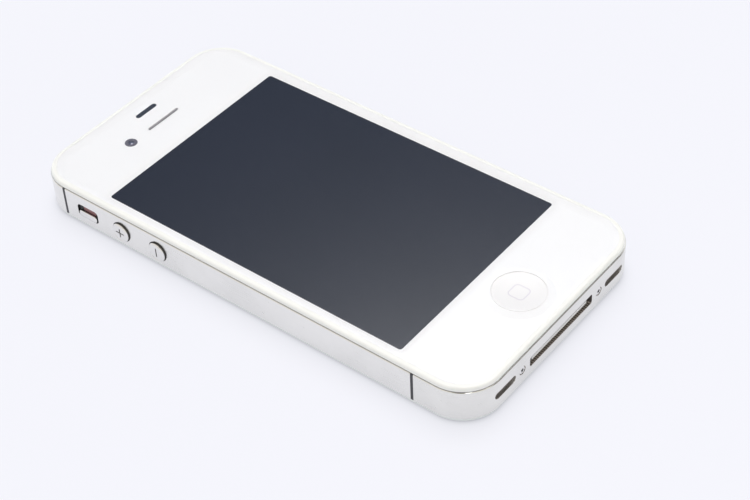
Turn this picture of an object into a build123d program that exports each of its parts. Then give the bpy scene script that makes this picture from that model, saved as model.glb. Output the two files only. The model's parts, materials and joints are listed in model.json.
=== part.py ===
from build123d import *
import os

# A glass-fronted smartphone, in millimetres. +Z points out of the front glass, +Y to the earpiece
# end and +X to the right seen from the front. The origin is the centre of the back face.

# ---- Outer body ----
body_width = 58.6
body_length = 115.2
body_thickness = 9.3
corner_radius = 8.8
band_height = 7.1
band_wall = 1.2
band_edge_chamfer = 0.14
bezel_inset = 0.22  # step from the band's outer face to the plastic bezels
bezel_drop = 0.15  # the bezels stop this far short of the glass faces
bezel_round = 0.6
ledge_width = 1.2  # shelf of the bezel that the glass is bonded to
glass_inset = 1.4  # from the band's outer face to the edge of either glass
glass_thickness = 0.95
glass_edge_round = 0.25
glass_gap = 0.05

half_width = body_width / 2
half_length = body_length / 2
band_low = (body_thickness - band_height) / 2
band_high = band_low + band_height
inner_x = half_width - band_wall
inner_y = half_length - band_wall
front_glass_low = body_thickness - glass_thickness
rear_glass_high = glass_thickness

# ---- Features round the edge ----
side_z = 4.4  # height of every key, slot and socket on the edge
slit_width = 0.65
slit_top_y = 48.6
slit_bottom_y = -43.4
slit_recess = 0.06
running_gap = 0.05
key_gap = 0.15  # visible gap round a key cap
key_travel = 0.3
flange_thickness = 0.45

volume_up_y = 32.2
volume_down_y = 21.9
volume_cap_radius = 2.25
volume_proud = 0.55
volume_flange_radius = 2.8
mark_length = 2.5
mark_width = 0.42
mark_depth = 0.15

mute_y = 42.0
mute_slot_length = 5.9
mute_slot_height = 3.1
mute_slot_radius = 0.9
mute_travel = 1.35
mute_cap_height = 1.45
mute_proud = 0.15
mute_end_gap = 0.4  # from either end of the slot to the lever's cap
mute_wall = 0.35  # the band is milled this thin round the slot, from inside

power_x = 16.0
power_cap_length = 9.8
power_cap_height = 2.3
power_proud = 0.5

jack_x = -18.5
jack_bore_radius = 1.8
jack_nose_radius = 2.6
jack_body_half = 2.5
jack_low_y = 41.9
jack_bore_length = 14.3
jack_recess = 0.05  # the nose ring sits this far inside the band's outer face

port_slot_x = 18.8
port_slot_length = 6.6
port_slot_height = 1.7
dock_width = 21.6
dock_height = 2.4
dock_radius = 0.5
screw_x = 13.3
screw_head_radius = 0.9
screw_shank_radius = 0.55
top_microphone_x = -12.4
top_microphone_radius = 0.4

sim_y = 2.3
sim_face_length = 15.2
sim_face_height = 2.0
sim_pin_y = -4.55
sim_pin_radius = 0.45
sim_inner_x = 11.0  # where the tray ends inside the phone

# ---- Front face ----
home_y = -47.6
home_hole_radius = 5.55
home_cap_radius = 5.45
home_dish = 0.35
home_flange_radius = 6.1
earpiece_y = 47.0
earpiece_length = 9.2
earpiece_height = 0.75
front_camera_x = -10.1
front_camera_y = 47.1
proximity_y = 52.2

# ---- Back face ----
rear_camera_x = 20.0
rear_camera_y = 48.2
camera_ring_radius = 3.3
camera_window_radius = 2.6
flash_x = 11.5
flash_radius = 1.5

# ---- Layers between the two glasses ----
mid_plate_low = 6.0
mid_plate_high = 6.5
backlight_low = 6.7
display_low = 7.35
touch_low = 8.05
board_low = 2.6
board_high = 3.3
switch_height = 0.45
dome_height = 0.27
dome_radius = 1.0
switch_side = 3.0

os.makedirs("parts", exist_ok=True)


def save(builder, name):
    """Label a finished piece and write it under the name of its node."""
    builder.part.label = name
    export_step(builder.part, f"parts/{name}.step")


def outline(inset, mode=Mode.ADD):
    """The phone's rounded outline, drawn in from the band's outer face."""
    RectangleRounded(body_width - 2 * inset, body_length - 2 * inset, corner_radius - inset, mode=mode)


def block(low, high, mode=Mode.ADD):
    """A box between two opposite corners."""
    size = Vector(*high) - Vector(*low)
    with Locations((Vector(*low) + Vector(*high)) / 2):
        Box(size.X, size.Y, size.Z, mode=mode)


def side_face(x):
    """A plane across X, drawn in (y, z) and extruded towards +X."""
    return Plane.YZ.offset(x)


def end_face(y):
    """A plane across Y, drawn in (x, z) and extruded towards -Y."""
    return Plane.XZ.offset(-y)


# ======== Steel band ========


def steel_ring(inset):
    """The closed ring that the band segments and the slit inserts are cut from."""
    with BuildPart() as ring:
        with BuildSketch(Plane.XY.offset(band_low)):
            outline(inset)
            outline(band_wall, mode=Mode.SUBTRACT)
        extrude(amount=band_height)
        top = ring.faces().sort_by(Axis.Z)[-1]
        bottom = ring.faces().sort_by(Axis.Z)[0]
        chamfer(top.outer_wire().edges() + bottom.outer_wire().edges(), band_edge_chamfer)
    return ring.part


# The mute lever's plate slides in a pocket milled in the inside of the left wall.
mute_cap_low = side_z - mute_slot_height / 2 + key_gap
mute_plate_x = -half_width + mute_wall + running_gap
mute_plate_low = 1.5
mute_plate_high = 6.2
mute_plate_half = 3.4
mute_pocket_low = (-half_width + mute_wall, mute_y - mute_plate_half - key_gap, mute_plate_low - key_gap)
mute_pocket_high = (-inner_x, mute_y + mute_plate_half + key_gap, mute_plate_high + mute_travel + key_gap)

cut_top_y = slit_top_y - slit_width / 2
cut_bottom_y = slit_bottom_y + slit_width / 2
end_top_y = slit_top_y + slit_width / 2
end_bottom_y = slit_bottom_y - slit_width / 2

with BuildPart() as band_left:
    add(steel_ring(0))
    block((-body_width, cut_bottom_y, 0), (0, cut_top_y, body_thickness), mode=Mode.INTERSECT)
    with BuildSketch(side_face(-half_width)):
        with Locations((volume_up_y, side_z), (volume_down_y, side_z)):
            Circle(volume_cap_radius + key_gap)
        with Locations((mute_y, side_z)):
            RectangleRounded(mute_slot_length, mute_slot_height, mute_slot_radius)
    extrude(amount=band_wall, mode=Mode.SUBTRACT)
    block(mute_pocket_low, mute_pocket_high, mode=Mode.SUBTRACT)
save(band_left, "band_left")

with BuildPart() as band_right:
    add(steel_ring(0))
    block((0, cut_bottom_y, 0), (body_width, cut_top_y, body_thickness), mode=Mode.INTERSECT)
    with BuildSketch(side_face(inner_x)):
        with Locations((sim_y, side_z)):
            RectangleRounded(sim_face_length + 2 * running_gap, sim_face_height + 2 * running_gap, 0.35)
    extrude(amount=band_wall, mode=Mode.SUBTRACT)
save(band_right, "band_right")

with BuildPart() as band_top:
    add(steel_ring(0))
    block((-body_width, end_top_y, 0), (body_width, body_length, body_thickness), mode=Mode.INTERSECT)
    with BuildSketch(end_face(half_length)):
        with Locations((jack_x, side_z)):
            Circle(jack_nose_radius)
        with Locations((top_microphone_x, side_z)):
            Circle(top_microphone_radius)
        with Locations((power_x, side_z)):
            SlotOverall(power_cap_length + 2 * key_gap, power_cap_height + 2 * key_gap)
    extrude(amount=band_wall, mode=Mode.SUBTRACT)
save(band_top, "band_top")

screw_head_depth = 0.55
with BuildPart() as band_bottom:
    add(steel_ring(0))
    block((-body_width, -body_length, 0), (body_width, end_bottom_y, body_thickness), mode=Mode.INTERSECT)
    with BuildSketch(end_face(-inner_y)):
        with Locations((-port_slot_x, side_z), (port_slot_x, side_z)):
            SlotOverall(port_slot_length, port_slot_height)
        with Locations((0, side_z)):
            RectangleRounded(dock_width, dock_height, dock_radius)
        with Locations((-screw_x, side_z), (screw_x, side_z)):
            Circle(screw_shank_radius + running_gap)
    extrude(amount=band_wall, mode=Mode.SUBTRACT)
    with BuildSketch(end_face(-half_length + screw_head_depth)):
        with Locations((-screw_x, side_z), (screw_x, side_z)):
            Circle(screw_head_radius + running_gap)
    extrude(amount=screw_head_depth, mode=Mode.SUBTRACT)
save(band_bottom, "band_bottom")

# Four plastic inserts fill the slits, a little below the steel.
with BuildPart() as band_inserts:
    add(steel_ring(slit_recess))
    with BuildSketch():
        with Locations((0, slit_top_y), (0, slit_bottom_y)):
            Rectangle(body_width, slit_width)
    extrude(amount=body_thickness, mode=Mode.INTERSECT)
save(band_inserts, "band_inserts")

# ======== Bezels and glasses ========


def bezel(face_z, band_z, ledge_z):
    """The plastic ring between the band and one glass, and the shelf that the glass is bonded to."""
    outward = 1 if face_z > band_z else -1
    with BuildPart() as ring:
        with BuildSketch(Plane.XY.offset(band_z)):
            outline(bezel_inset)
            outline(glass_inset - glass_gap, mode=Mode.SUBTRACT)
        extrude(amount=face_z - band_z)
        rim = ring.faces().sort_by(Axis.Z)[-1 if outward > 0 else 0]
        fillet(rim.outer_wire().edges(), bezel_round)
        with BuildSketch(Plane.XY.offset(band_z)):
            outline(glass_inset - glass_gap)
            outline(glass_inset + ledge_width, mode=Mode.SUBTRACT)
        extrude(amount=ledge_z - band_z)
    return ring.part


with BuildPart() as front_bezel:
    add(bezel(body_thickness - bezel_drop, band_high, front_glass_low))
save(front_bezel, "front_bezel")

# Two lugs stand up inside the bottom edge and take the case screws.
lug_half_width = 1.5
lug_length = 2.4
lug_top = side_z + 1.3
with BuildPart() as rear_bezel:
    add(bezel(bezel_drop, band_low, rear_glass_high))
    for x in (-screw_x, screw_x):
        low = (x - lug_half_width, -inner_y + running_gap, rear_glass_high)
        high = (x + lug_half_width, -inner_y + lug_length, lug_top)
        block(low, high)
    with BuildSketch(end_face(-inner_y + lug_length)):
        with Locations((-screw_x, side_z), (screw_x, side_z)):
            Circle(screw_shank_radius)
    extrude(amount=lug_length, mode=Mode.SUBTRACT)
save(rear_bezel, "rear_bezel")

with BuildPart() as front_glass:
    with BuildSketch(Plane.XY.offset(front_glass_low)):
        outline(glass_inset)
    extrude(amount=glass_thickness)
    fillet(front_glass.faces().sort_by(Axis.Z)[-1].edges(), glass_edge_round)
    with BuildSketch(Plane.XY.offset(front_glass_low)):
        with Locations((0, home_y)):
            Circle(home_hole_radius)
        with Locations((0, earpiece_y)):
            SlotOverall(earpiece_length, earpiece_height)
    extrude(amount=glass_thickness, mode=Mode.SUBTRACT)
save(front_glass, "front_glass")

with BuildPart() as rear_glass:
    with BuildSketch():
        outline(glass_inset)
    extrude(amount=glass_thickness)
    fillet(rear_glass.faces().sort_by(Axis.Z)[0].edges(), glass_edge_round)
    with BuildSketch():
        with Locations((rear_camera_x, rear_camera_y)):
            Circle(camera_ring_radius)
        with Locations((flash_x, rear_camera_y)):
            Circle(flash_radius)
    extrude(amount=glass_thickness, mode=Mode.SUBTRACT)
save(rear_glass, "rear_glass")

ring_drop = 0.03
with BuildPart() as camera_ring:
    with BuildSketch(Plane.XY.offset(ring_drop)):
        with Locations((rear_camera_x, rear_camera_y)):
            Circle(camera_ring_radius)
            Circle(camera_window_radius, mode=Mode.SUBTRACT)
    extrude(amount=glass_thickness - ring_drop)
    rim = camera_ring.faces().sort_by(Axis.Z)[0]
    chamfer(rim.inner_wires()[0].edges(), 0.15)
save(camera_ring, "camera_ring")

with BuildPart() as camera_window:
    with BuildSketch(Plane.XY.offset(0.2)):
        with Locations((rear_camera_x, rear_camera_y)):
            Circle(camera_window_radius)
    extrude(amount=0.6)
save(camera_window, "camera_window")

with BuildPart() as flash_window:
    with BuildSketch(Plane.XY.offset(ring_drop)):
        with Locations((flash_x, rear_camera_y)):
            Circle(flash_radius)
    extrude(amount=glass_thickness - ring_drop)
    fillet(flash_window.faces().sort_by(Axis.Z)[0].edges(), 0.1)
save(flash_window, "flash_window")

# ======== Mid plate and display ========

board_screws_at = ((10, 12.1), (25.6, 12.1), (10, -7.5), (25.6, -7.5), (24, -35), (24.6, 41.2))
post_radius = 1.15
board_screw_radius = 0.5
side_notch = 1.1  # room beside the left wall for the key flanges
top_notch_low = jack_x - jack_body_half - 0.2  # room at the top wall, from the jack to the power key
top_notch_high = power_x + power_cap_length / 2 + 1

with BuildPart() as mid_plate:
    with BuildSketch(Plane.XY.offset(mid_plate_low)):
        outline(band_wall)
        with Locations((-inner_x, (volume_down_y + mute_y) / 2 + 0.6)):
            Rectangle(2 * side_notch, 29, mode=Mode.SUBTRACT)
        with Locations((1.2, 48.6)):
            RectangleRounded(47.4, 13.6, 2, mode=Mode.SUBTRACT)
        with Locations(((top_notch_low + top_notch_high) / 2, inner_y)):
            Rectangle(top_notch_high - top_notch_low, 3, mode=Mode.SUBTRACT)
    extrude(amount=mid_plate_high - mid_plate_low)
    with BuildSketch(Plane.XY.offset(board_high)):
        with Locations(*board_screws_at):
            Circle(post_radius)
    extrude(amount=mid_plate_low - board_high)
    with BuildSketch(Plane.XY.offset(board_high)):
        with Locations(*board_screws_at):
            Circle(board_screw_radius)
    extrude(amount=2, mode=Mode.SUBTRACT)
save(mid_plate, "mid_plate")

with BuildPart() as backlight:
    block((-26.4, -41.0, backlight_low), (26.4, 41.0, display_low))
    fillet(backlight.edges().filter_by(Axis.Z), 0.6)
save(backlight, "backlight")

with BuildPart() as display_panel:
    block((-26.4, -40.6, display_low), (26.4, 40.6, touch_low))
save(display_panel, "display_panel")

with BuildPart() as touch_panel:
    block((-26.6, -40.4, touch_low), (26.6, 43.8, front_glass_low))
save(touch_panel, "touch_panel")

# ======== Home key ========

with BuildPart() as home_button:
    with BuildSketch(Plane.XY.offset(front_glass_low - 0.05)):
        with Locations((0, home_y)):
            Circle(home_cap_radius)
    extrude(amount=glass_thickness - 0.05)
    fillet(home_button.faces().sort_by(Axis.Z)[-1].edges(), 0.12)
    # the dish is the bottom of a large sphere
    dish_reach = home_cap_radius - 0.3
    dish_radius = (dish_reach**2 + home_dish**2) / (2 * home_dish)
    with Locations((0, home_y, body_thickness - 0.1 + dish_radius - home_dish)):
        Sphere(dish_radius, mode=Mode.SUBTRACT)
    with BuildSketch(Plane.XY.offset(front_glass_low - 0.05)):
        with Locations((0, home_y)):
            Circle(home_flange_radius)
    extrude(amount=-0.35)
    with BuildSketch(Plane.XY.offset(front_glass_low - 0.4)):
        with Locations((0, home_y)):
            Circle(1.5)
    extrude(amount=-0.35)
    # a generic rounded square is sunk in the dish
    with BuildSketch(Plane.XY.offset(body_thickness - 0.1 - home_dish - 0.05)):
        with Locations((0, home_y)):
            RectangleRounded(3.5, 3.5, 0.9)
            RectangleRounded(3.0, 3.0, 0.65, mode=Mode.SUBTRACT)
    extrude(amount=0.5, mode=Mode.SUBTRACT)
save(home_button, "home_button")

with BuildPart() as home_button_gasket:
    with BuildSketch(Plane.XY.offset(touch_low)):
        with Locations((0, home_y)):
            Circle(6.9)
            Circle(home_flange_radius + 0.15, mode=Mode.SUBTRACT)
    extrude(amount=front_glass_low - touch_low)
save(home_button_gasket, "home_button_gasket")

# ======== Dome switches behind the four keys ========

volume_switch_x = -26.82
power_switch_y = 55.17
home_switch_top = 7.22


def dome_switch(place):
    """A square dome switch; the dome's top is at the plane's origin and faces along its normal."""
    with BuildPart(place) as switch:
        with BuildSketch(place.offset(-dome_height)):
            Rectangle(switch_side, switch_side)
        extrude(amount=-switch_height)
        with BuildSketch(place.offset(-dome_height)):
            Circle(dome_radius)
        extrude(amount=dome_height, taper=30)
    return switch.part


with BuildPart() as dome_switches:
    add(dome_switch(Plane((volume_switch_x, volume_up_y, side_z), x_dir=(0, 1, 0), z_dir=(-1, 0, 0))))
    add(dome_switch(Plane((volume_switch_x, volume_down_y, side_z), x_dir=(0, 1, 0), z_dir=(-1, 0, 0))))
    add(dome_switch(Plane((power_x, power_switch_y, side_z), x_dir=(1, 0, 0), z_dir=(0, 1, 0))))
    add(dome_switch(Plane((0, home_y, home_switch_top), x_dir=(1, 0, 0), z_dir=(0, 0, 1))))
save(dome_switches, "dome_switches")

bracket_x = volume_switch_x + dome_height + switch_height
bracket_y = power_switch_y - dome_height - switch_height
bracket_thickness = 0.35
with BuildPart() as switch_brackets:
    block((bracket_x, 18.4, 2.2), (bracket_x + bracket_thickness, 45.2, mid_plate_low))
    block(
        (power_x - 5.4, bracket_y - bracket_thickness, 2.4),
        (power_x + 5.4, bracket_y, mid_plate_low),
    )
save(switch_brackets, "switch_brackets")

# ======== Keys on the edge ========


stem_radius = 0.8
stem_gap = 0.03  # play left between a pressed key's stem and its dome
volume_stem_end = volume_switch_x - key_travel - stem_gap
power_stem_end = power_switch_y + key_travel + stem_gap


def volume_button(y, crossed):
    """A round key with a sunk bar, or a sunk cross if crossed, a retaining flange and a short stem."""
    face_x = -half_width - volume_proud
    with BuildPart() as key:
        with BuildSketch(side_face(face_x)):
            with Locations((y, side_z)):
                Circle(volume_cap_radius)
        extrude(amount=-inner_x + running_gap - face_x)
        fillet(key.faces().sort_by(Axis.X)[0].edges(), 0.35)
        with BuildSketch(side_face(-inner_x + running_gap)):
            with Locations((y, side_z)):
                Circle(volume_flange_radius)
        extrude(amount=flange_thickness)
        with BuildSketch(side_face(-inner_x + running_gap + flange_thickness)):
            with Locations((y, side_z)):
                Circle(stem_radius)
        extrude(amount=volume_stem_end + inner_x - running_gap - flange_thickness)
        with BuildSketch(side_face(face_x)):
            with Locations((y, side_z)):
                SlotOverall(mark_length, mark_width, rotation=90)
                if crossed:
                    SlotOverall(mark_length, mark_width)
        extrude(amount=mark_depth, mode=Mode.SUBTRACT)
    return key.part


with BuildPart() as volume_up_button:
    add(volume_button(volume_up_y, crossed=True))
save(volume_up_button, "volume_up_button")

with BuildPart() as volume_down_button:
    add(volume_button(volume_down_y, crossed=False))
save(volume_down_button, "volume_down_button")

power_face_y = half_length + power_proud
with BuildPart() as power_button:
    with BuildSketch(end_face(power_face_y)):
        with Locations((power_x, side_z)):
            SlotOverall(power_cap_length, power_cap_height)
    extrude(amount=power_face_y - inner_y + running_gap)
    fillet(power_button.faces().sort_by(Axis.Y)[-1].edges(), 0.35)
    with BuildSketch(end_face(inner_y - running_gap)):
        with Locations((power_x, side_z)):
            SlotOverall(power_cap_length + 1.0, power_cap_height + 1.0)
    extrude(amount=flange_thickness)
    with BuildSketch(end_face(inner_y - running_gap - flange_thickness)):
        with Locations((power_x, side_z)):
            Circle(stem_radius)
    extrude(amount=inner_y - running_gap - flange_thickness - power_stem_end)
save(power_button, "power_button")

# The lever rests at the back of its slot, in the silent position, and slides to the front.
mute_cap_high = mute_cap_low + mute_cap_height
mute_plate_back = mute_plate_x + flange_thickness
mute_body_x = -27.35  # outer face of the switch that the lever works
flag_depth = 0.15
flag_y = mute_y - 0.3
flag_half = 1.8
flag_low = (mute_plate_x, flag_y - flag_half, mute_cap_high)
flag_high = (mute_plate_x + flag_depth, flag_y + flag_half, mute_cap_high + mute_travel)
tab_height = 0.9
with BuildPart() as mute_lever:
    with BuildSketch(side_face(-half_width - mute_proud)):
        with Locations((mute_y, (mute_cap_low + mute_cap_high) / 2)):
            RectangleRounded(mute_slot_length - 2 * mute_end_gap, mute_cap_height, 0.6)
    extrude(amount=half_width + mute_proud + mute_plate_x)
    fillet(mute_lever.faces().sort_by(Axis.X)[0].edges(), 0.12)
    block(
        (mute_plate_x, mute_y - mute_plate_half, mute_plate_low),
        (mute_plate_back, mute_y + mute_plate_half, mute_plate_high),
    )
    block(flag_low, flag_high, mode=Mode.SUBTRACT)
    block(
        (mute_plate_back, mute_y - 0.5, mute_cap_low),
        (mute_body_x + 0.75, mute_y + 0.5, mute_cap_low + tab_height),
    )
save(mute_lever, "mute_lever")

with BuildPart() as mute_flag:
    block(flag_low, flag_high)
save(mute_flag, "mute_flag")

with BuildPart() as mute_switch:
    block((mute_body_x, mute_y - 2.6, 2.5), (bracket_x, mute_y + 2.6, 5.7))
    block(
        (mute_body_x, mute_y - 0.6, mute_cap_low - key_gap),
        (mute_body_x + 0.9, mute_y + 0.6, mute_cap_low + tab_height + mute_travel + key_gap),
        mode=Mode.SUBTRACT,
    )
save(mute_switch, "mute_switch")

# ======== SIM tray, reader and ejector ========

sim_frame_low = (sim_inner_x, -3.4, 3.85)
sim_frame_high = (inner_x, 9.8, 5.0)
sim_card_low = (sim_inner_x + 0.9, -2.8, 4.05)
sim_card_high = (sim_inner_x + 15.9, 9.2, 4.81)
card_gap = 0.05

with BuildPart() as sim_tray:
    with BuildSketch(side_face(inner_x)):
        with Locations((sim_y, side_z)):
            RectangleRounded(sim_face_length, sim_face_height, 0.3)
    extrude(amount=band_wall)
    block(sim_frame_low, sim_frame_high)
    block(
        (sim_card_low[0] - card_gap, sim_card_low[1] - card_gap, sim_card_low[2]),
        (sim_card_high[0] + card_gap, sim_card_high[1] + card_gap, sim_frame_high[2]),
        mode=Mode.SUBTRACT,
    )
    block(
        (sim_card_low[0] + 1, sim_card_low[1] + 1.2, sim_frame_low[2]),
        (sim_card_high[0] - 2, sim_card_high[1] - 1.2, sim_card_low[2]),
        mode=Mode.SUBTRACT,
    )
    with BuildSketch(side_face(inner_x)):
        with Locations((sim_pin_y, side_z)):
            Circle(sim_pin_radius)
    extrude(amount=band_wall, mode=Mode.SUBTRACT)
save(sim_tray, "sim_tray")

with BuildPart() as sim_card:
    block(sim_card_low, sim_card_high)
    fillet(sim_card.edges().filter_by(Axis.Z), 0.8)
save(sim_card, "sim_card")

reader_floor = 3.7
reader_roof = 5.12
lever_pivot = (9.9, -0.8)
with BuildPart() as sim_reader:
    block((8.7, -5.6, board_high), (inner_x - 0.3, 10.3, reader_floor))
    block((11.4, 9.9, reader_floor), (inner_x - 0.3, 10.3, reader_roof + 0.2))
    block((11.4, -3.9, reader_floor), (inner_x - 0.3, -3.5, reader_roof + 0.2))
    block((11.4, -3.9, reader_roof), (inner_x - 0.3, 10.3, reader_roof + 0.2))
    block((14, 0, reader_roof), (24, 6.4, reader_roof + 0.2), mode=Mode.SUBTRACT)
    block((12.4, -5.6, reader_floor), (inner_x - 0.3, -5.2, reader_roof))
    with BuildSketch(Plane.XY.offset(reader_floor)):
        with Locations(lever_pivot):
            Circle(0.5)
    extrude(amount=1.3)
save(sim_reader, "sim_reader")

with BuildPart() as sim_contacts:
    with Locations((18.6, 3.2, reader_floor + 0.04)):
        with GridLocations(3.6, 2.54, 2, 3):
            Box(2.2, 1.2, 0.08)
save(sim_contacts, "sim_contacts")

lever_low_z = 3.85
lever_high_z = 4.75
with BuildPart() as sim_eject_lever:
    block((9.4, -5.1, lever_low_z), (10.4, 4.4, lever_high_z))
    fillet(sim_eject_lever.edges().filter_by(Axis.Z), 0.3)
    with BuildSketch(Plane.XY.offset(lever_low_z)):
        with Locations(lever_pivot):
            Circle(0.9)
    extrude(amount=lever_high_z - lever_low_z)
    with BuildSketch(Plane.XY.offset(lever_low_z)):
        with Locations(lever_pivot):
            Circle(0.5 + running_gap)
    extrude(amount=lever_high_z - lever_low_z, mode=Mode.SUBTRACT)
save(sim_eject_lever, "sim_eject_lever")

with BuildPart() as sim_eject_rod:
    block((10.55, -5.05, 3.9), (inner_x - 0.6, -4.05, 4.9))
save(sim_eject_rod, "sim_eject_rod")

# ======== Logic board ========

with BuildPart() as logic_board:
    with BuildSketch(Plane.XY.offset(board_low)):
        with BuildLine():
            Polyline(
                (7.2, -41),
                (27.6, -41),
                (27.6, 42.9),
                (14.6, 42.9),
                (14.6, 48.5),
                (-14, 48.5),
                (-14, 41.3),
                (7.2, 41.3),
                close=True,
            )
        make_face()
        with Locations(*board_screws_at):
            Circle(board_screw_radius + 0.1, mode=Mode.SUBTRACT)
    extrude(amount=board_high - board_low)
save(logic_board, "logic_board")

# Each can is (low x, low y, high x, high y, height above or below the board).
can_wall = 0.15
front_cans = ((8.2, 13.6, 27.2, 39.5, 1.9), (8.2, -30.0, 27.2, -9.4, 1.9), (-13.2, 41.8, -1.0, 48.1, 0.85))
rear_can = (8.2, -28.0, 27.0, 39.0, 1.2)
with BuildPart() as shield_cans:
    for x0, y0, x1, y1, height in front_cans:
        block((x0, y0, board_high), (x1, y1, board_high + height))
        block(
            (x0 + can_wall, y0 + can_wall, board_high),
            (x1 - can_wall, y1 - can_wall, board_high + height - can_wall),
            mode=Mode.SUBTRACT,
        )
    x0, y0, x1, y1, height = rear_can
    block((x0, y0, board_low - height), (x1, y1, board_low))
    block(
        (x0 + can_wall, y0 + can_wall, board_low - height + can_wall),
        (x1 - can_wall, y1 - can_wall, board_low),
        mode=Mode.SUBTRACT,
    )
    with BuildSketch(Plane.XY.offset(board_low - height)):
        with Locations(*board_screws_at[:4]):
            Circle(1.3)
    extrude(amount=height, mode=Mode.SUBTRACT)
save(shield_cans, "shield_cans")

# Each chip is (centre x, centre y, width, length).
chips = (
    (17.5, 28.0, 14.0, 14.0),
    (13.0, 17.5, 6.0, 5.0),
    (22.5, 17.0, 6.5, 4.5),
    (17.0, -20.0, 12.0, 14.0),
    (-7.0, 45.0, 8.0, 4.4),
)
chip_height = 0.6
with BuildPart() as board_chips:
    for x, y, width, length in chips:
        with Locations((x, y, board_high + chip_height / 2)):
            Box(width, length, chip_height)
save(board_chips, "board_chips")

# Each plug is (centre x, centre y, width, length).
plugs = ((10.6, -33.0, 4.6, 2.8), (10.6, -38.5, 5.0, 2.4), (4.0, 43.6, 7.0, 2.2))
plug_height = 0.8
plug_top = board_high + plug_height
with BuildPart() as board_connectors:
    for x, y, width, length in plugs:
        with Locations((x, y, board_high + plug_height / 2)):
            Box(width, length, plug_height)
    fillet(board_connectors.edges().filter_by(Axis.Z), 0.3)
save(board_connectors, "board_connectors")

screw_head_height = 0.6
with BuildPart() as board_screws:
    with BuildSketch(Plane.XY.offset(board_low)):
        with Locations(*board_screws_at):
            Circle(0.95)
    extrude(amount=-screw_head_height)
    with BuildSketch(Plane.XY.offset(board_low)):
        with Locations(*board_screws_at):
            Circle(board_screw_radius)
    extrude(amount=2.2)
    with BuildSketch(Plane.XY.offset(board_low - screw_head_height)):
        with Locations(*board_screws_at):
            Rectangle(1.2, 0.22)
            Rectangle(0.22, 1.2)
    extrude(amount=0.3, mode=Mode.SUBTRACT)
save(board_screws, "board_screws")

# ======== Battery and flex cables ========

battery_low = (-24.6, -42.0, 1.5)
battery_high = (6.3, 40.4, mid_plate_low)
with BuildPart() as battery:
    block(battery_low, battery_high)
    fillet(battery.edges().filter_by(Axis.Y), 0.8)
    fillet(battery.edges().filter_by(Axis.Z), 0.4)
save(battery, "battery")

ribbon = 0.12
with BuildPart() as battery_flex:
    block((battery_high[0], -34.2, plug_top), (12.6, -31.8, plug_top + ribbon))
save(battery_flex, "battery_flex")

# The display cable leaves the backlight's top edge, turns down and lies on its plug.
cable_low_x = 1.0
cable_high_x = 7.0
cable_y = 42.2
cable_z = 7.0
with BuildPart() as display_flex:
    block((cable_low_x, 41.0, cable_z), (cable_high_x, cable_y, cable_z + ribbon))
    block((cable_low_x, cable_y - ribbon, plug_top), (cable_high_x, cable_y, cable_z + ribbon))
    block((cable_low_x, cable_y - ribbon, plug_top), (cable_high_x, 44.6, plug_top + ribbon))
save(display_flex, "display_flex")

# ======== Dock socket ========

dock_wall = 0.3
dock_floor = 0.4
dock_back_y = -49.6
dock_half_height = dock_height / 2
with BuildPart() as dock_shell:
    block(
        (-dock_width / 2 - dock_wall, -inner_y, side_z - dock_half_height - dock_wall),
        (dock_width / 2 + dock_wall, dock_back_y, side_z + dock_half_height + dock_wall),
    )
    fillet(dock_shell.edges().filter_by(Axis.Y), dock_radius)
    with BuildSketch(end_face(dock_back_y - dock_floor)):
        with Locations((0, side_z)):
            RectangleRounded(dock_width, dock_height, dock_radius)
    extrude(amount=dock_back_y - dock_floor + inner_y, mode=Mode.SUBTRACT)
save(dock_shell, "dock_shell")

tongue_low = side_z - 0.6
tongue_high = side_z + 0.2
tongue_front_y = -half_length + 0.5
tongue_end_gap = 1.2  # from either end of the opening to the tongue
with BuildPart() as dock_tongue:
    block(
        (-dock_width / 2 + tongue_end_gap, tongue_front_y, tongue_low),
        (dock_width / 2 - tongue_end_gap, dock_back_y - dock_floor, tongue_high),
    )
    fillet(dock_tongue.faces().sort_by(Axis.Y)[0].edges().filter_by(Axis.X), 0.25)
save(dock_tongue, "dock_tongue")

contact_count = 30
contact_pitch = 0.6
contact_width = 0.36
contact_thickness = 0.06
contact_length = 5.4
contact_y = tongue_front_y + 0.3 + contact_length / 2
with BuildPart() as dock_contacts:
    with Locations((0, contact_y, tongue_low - contact_thickness / 2)):
        with GridLocations(contact_pitch, 1, contact_count, 1):
            Box(contact_width, contact_length, contact_thickness)
save(dock_contacts, "dock_contacts")

with BuildPart() as dock_flex:
    block((6.2, dock_back_y, side_z - 0.5), (11.0, dock_back_y + ribbon, side_z + 0.4))
    block((6.2, dock_back_y, plug_top), (11.0, -43.0, plug_top + ribbon))
    block((8.3, -43.0, plug_top), (12.9, -37.4, plug_top + ribbon))
save(dock_flex, "dock_flex")

# ======== Bottom edge: screws, meshes, microphone and speaker ========

head_inset = 0.08
lobe_count = 5
with BuildPart() as bottom_screws:
    for x in (-screw_x, screw_x):
        with BuildSketch(end_face(-half_length + screw_head_depth)):
            with Locations((x, side_z)):
                Circle(screw_head_radius)
        extrude(amount=screw_head_depth - head_inset)
        with BuildSketch(end_face(-half_length + 3.4)):
            with Locations((x, side_z)):
                Circle(screw_shank_radius)
        extrude(amount=3.4 - screw_head_depth)
        with BuildSketch(end_face(-half_length + head_inset + 0.35)):
            with Locations((x, side_z)):
                Circle(0.3)
                with PolarLocations(0.33, lobe_count):
                    Circle(0.14)
        extrude(amount=0.35, mode=Mode.SUBTRACT)
save(bottom_screws, "bottom_screws")


def mesh_plate(plane, length, height, thickness, pitch, hole_radius):
    """An oblong plate with a grid of round holes, lying on its plane."""
    columns = int((length - height) / pitch)
    rows = int((height - 0.2) / pitch)
    with BuildPart(plane) as plate:
        with BuildSketch(plane):
            SlotOverall(length, height)
            with GridLocations(pitch, pitch, columns, rows):
                Circle(hole_radius, mode=Mode.SUBTRACT)
        extrude(amount=thickness)
    return plate.part


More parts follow.
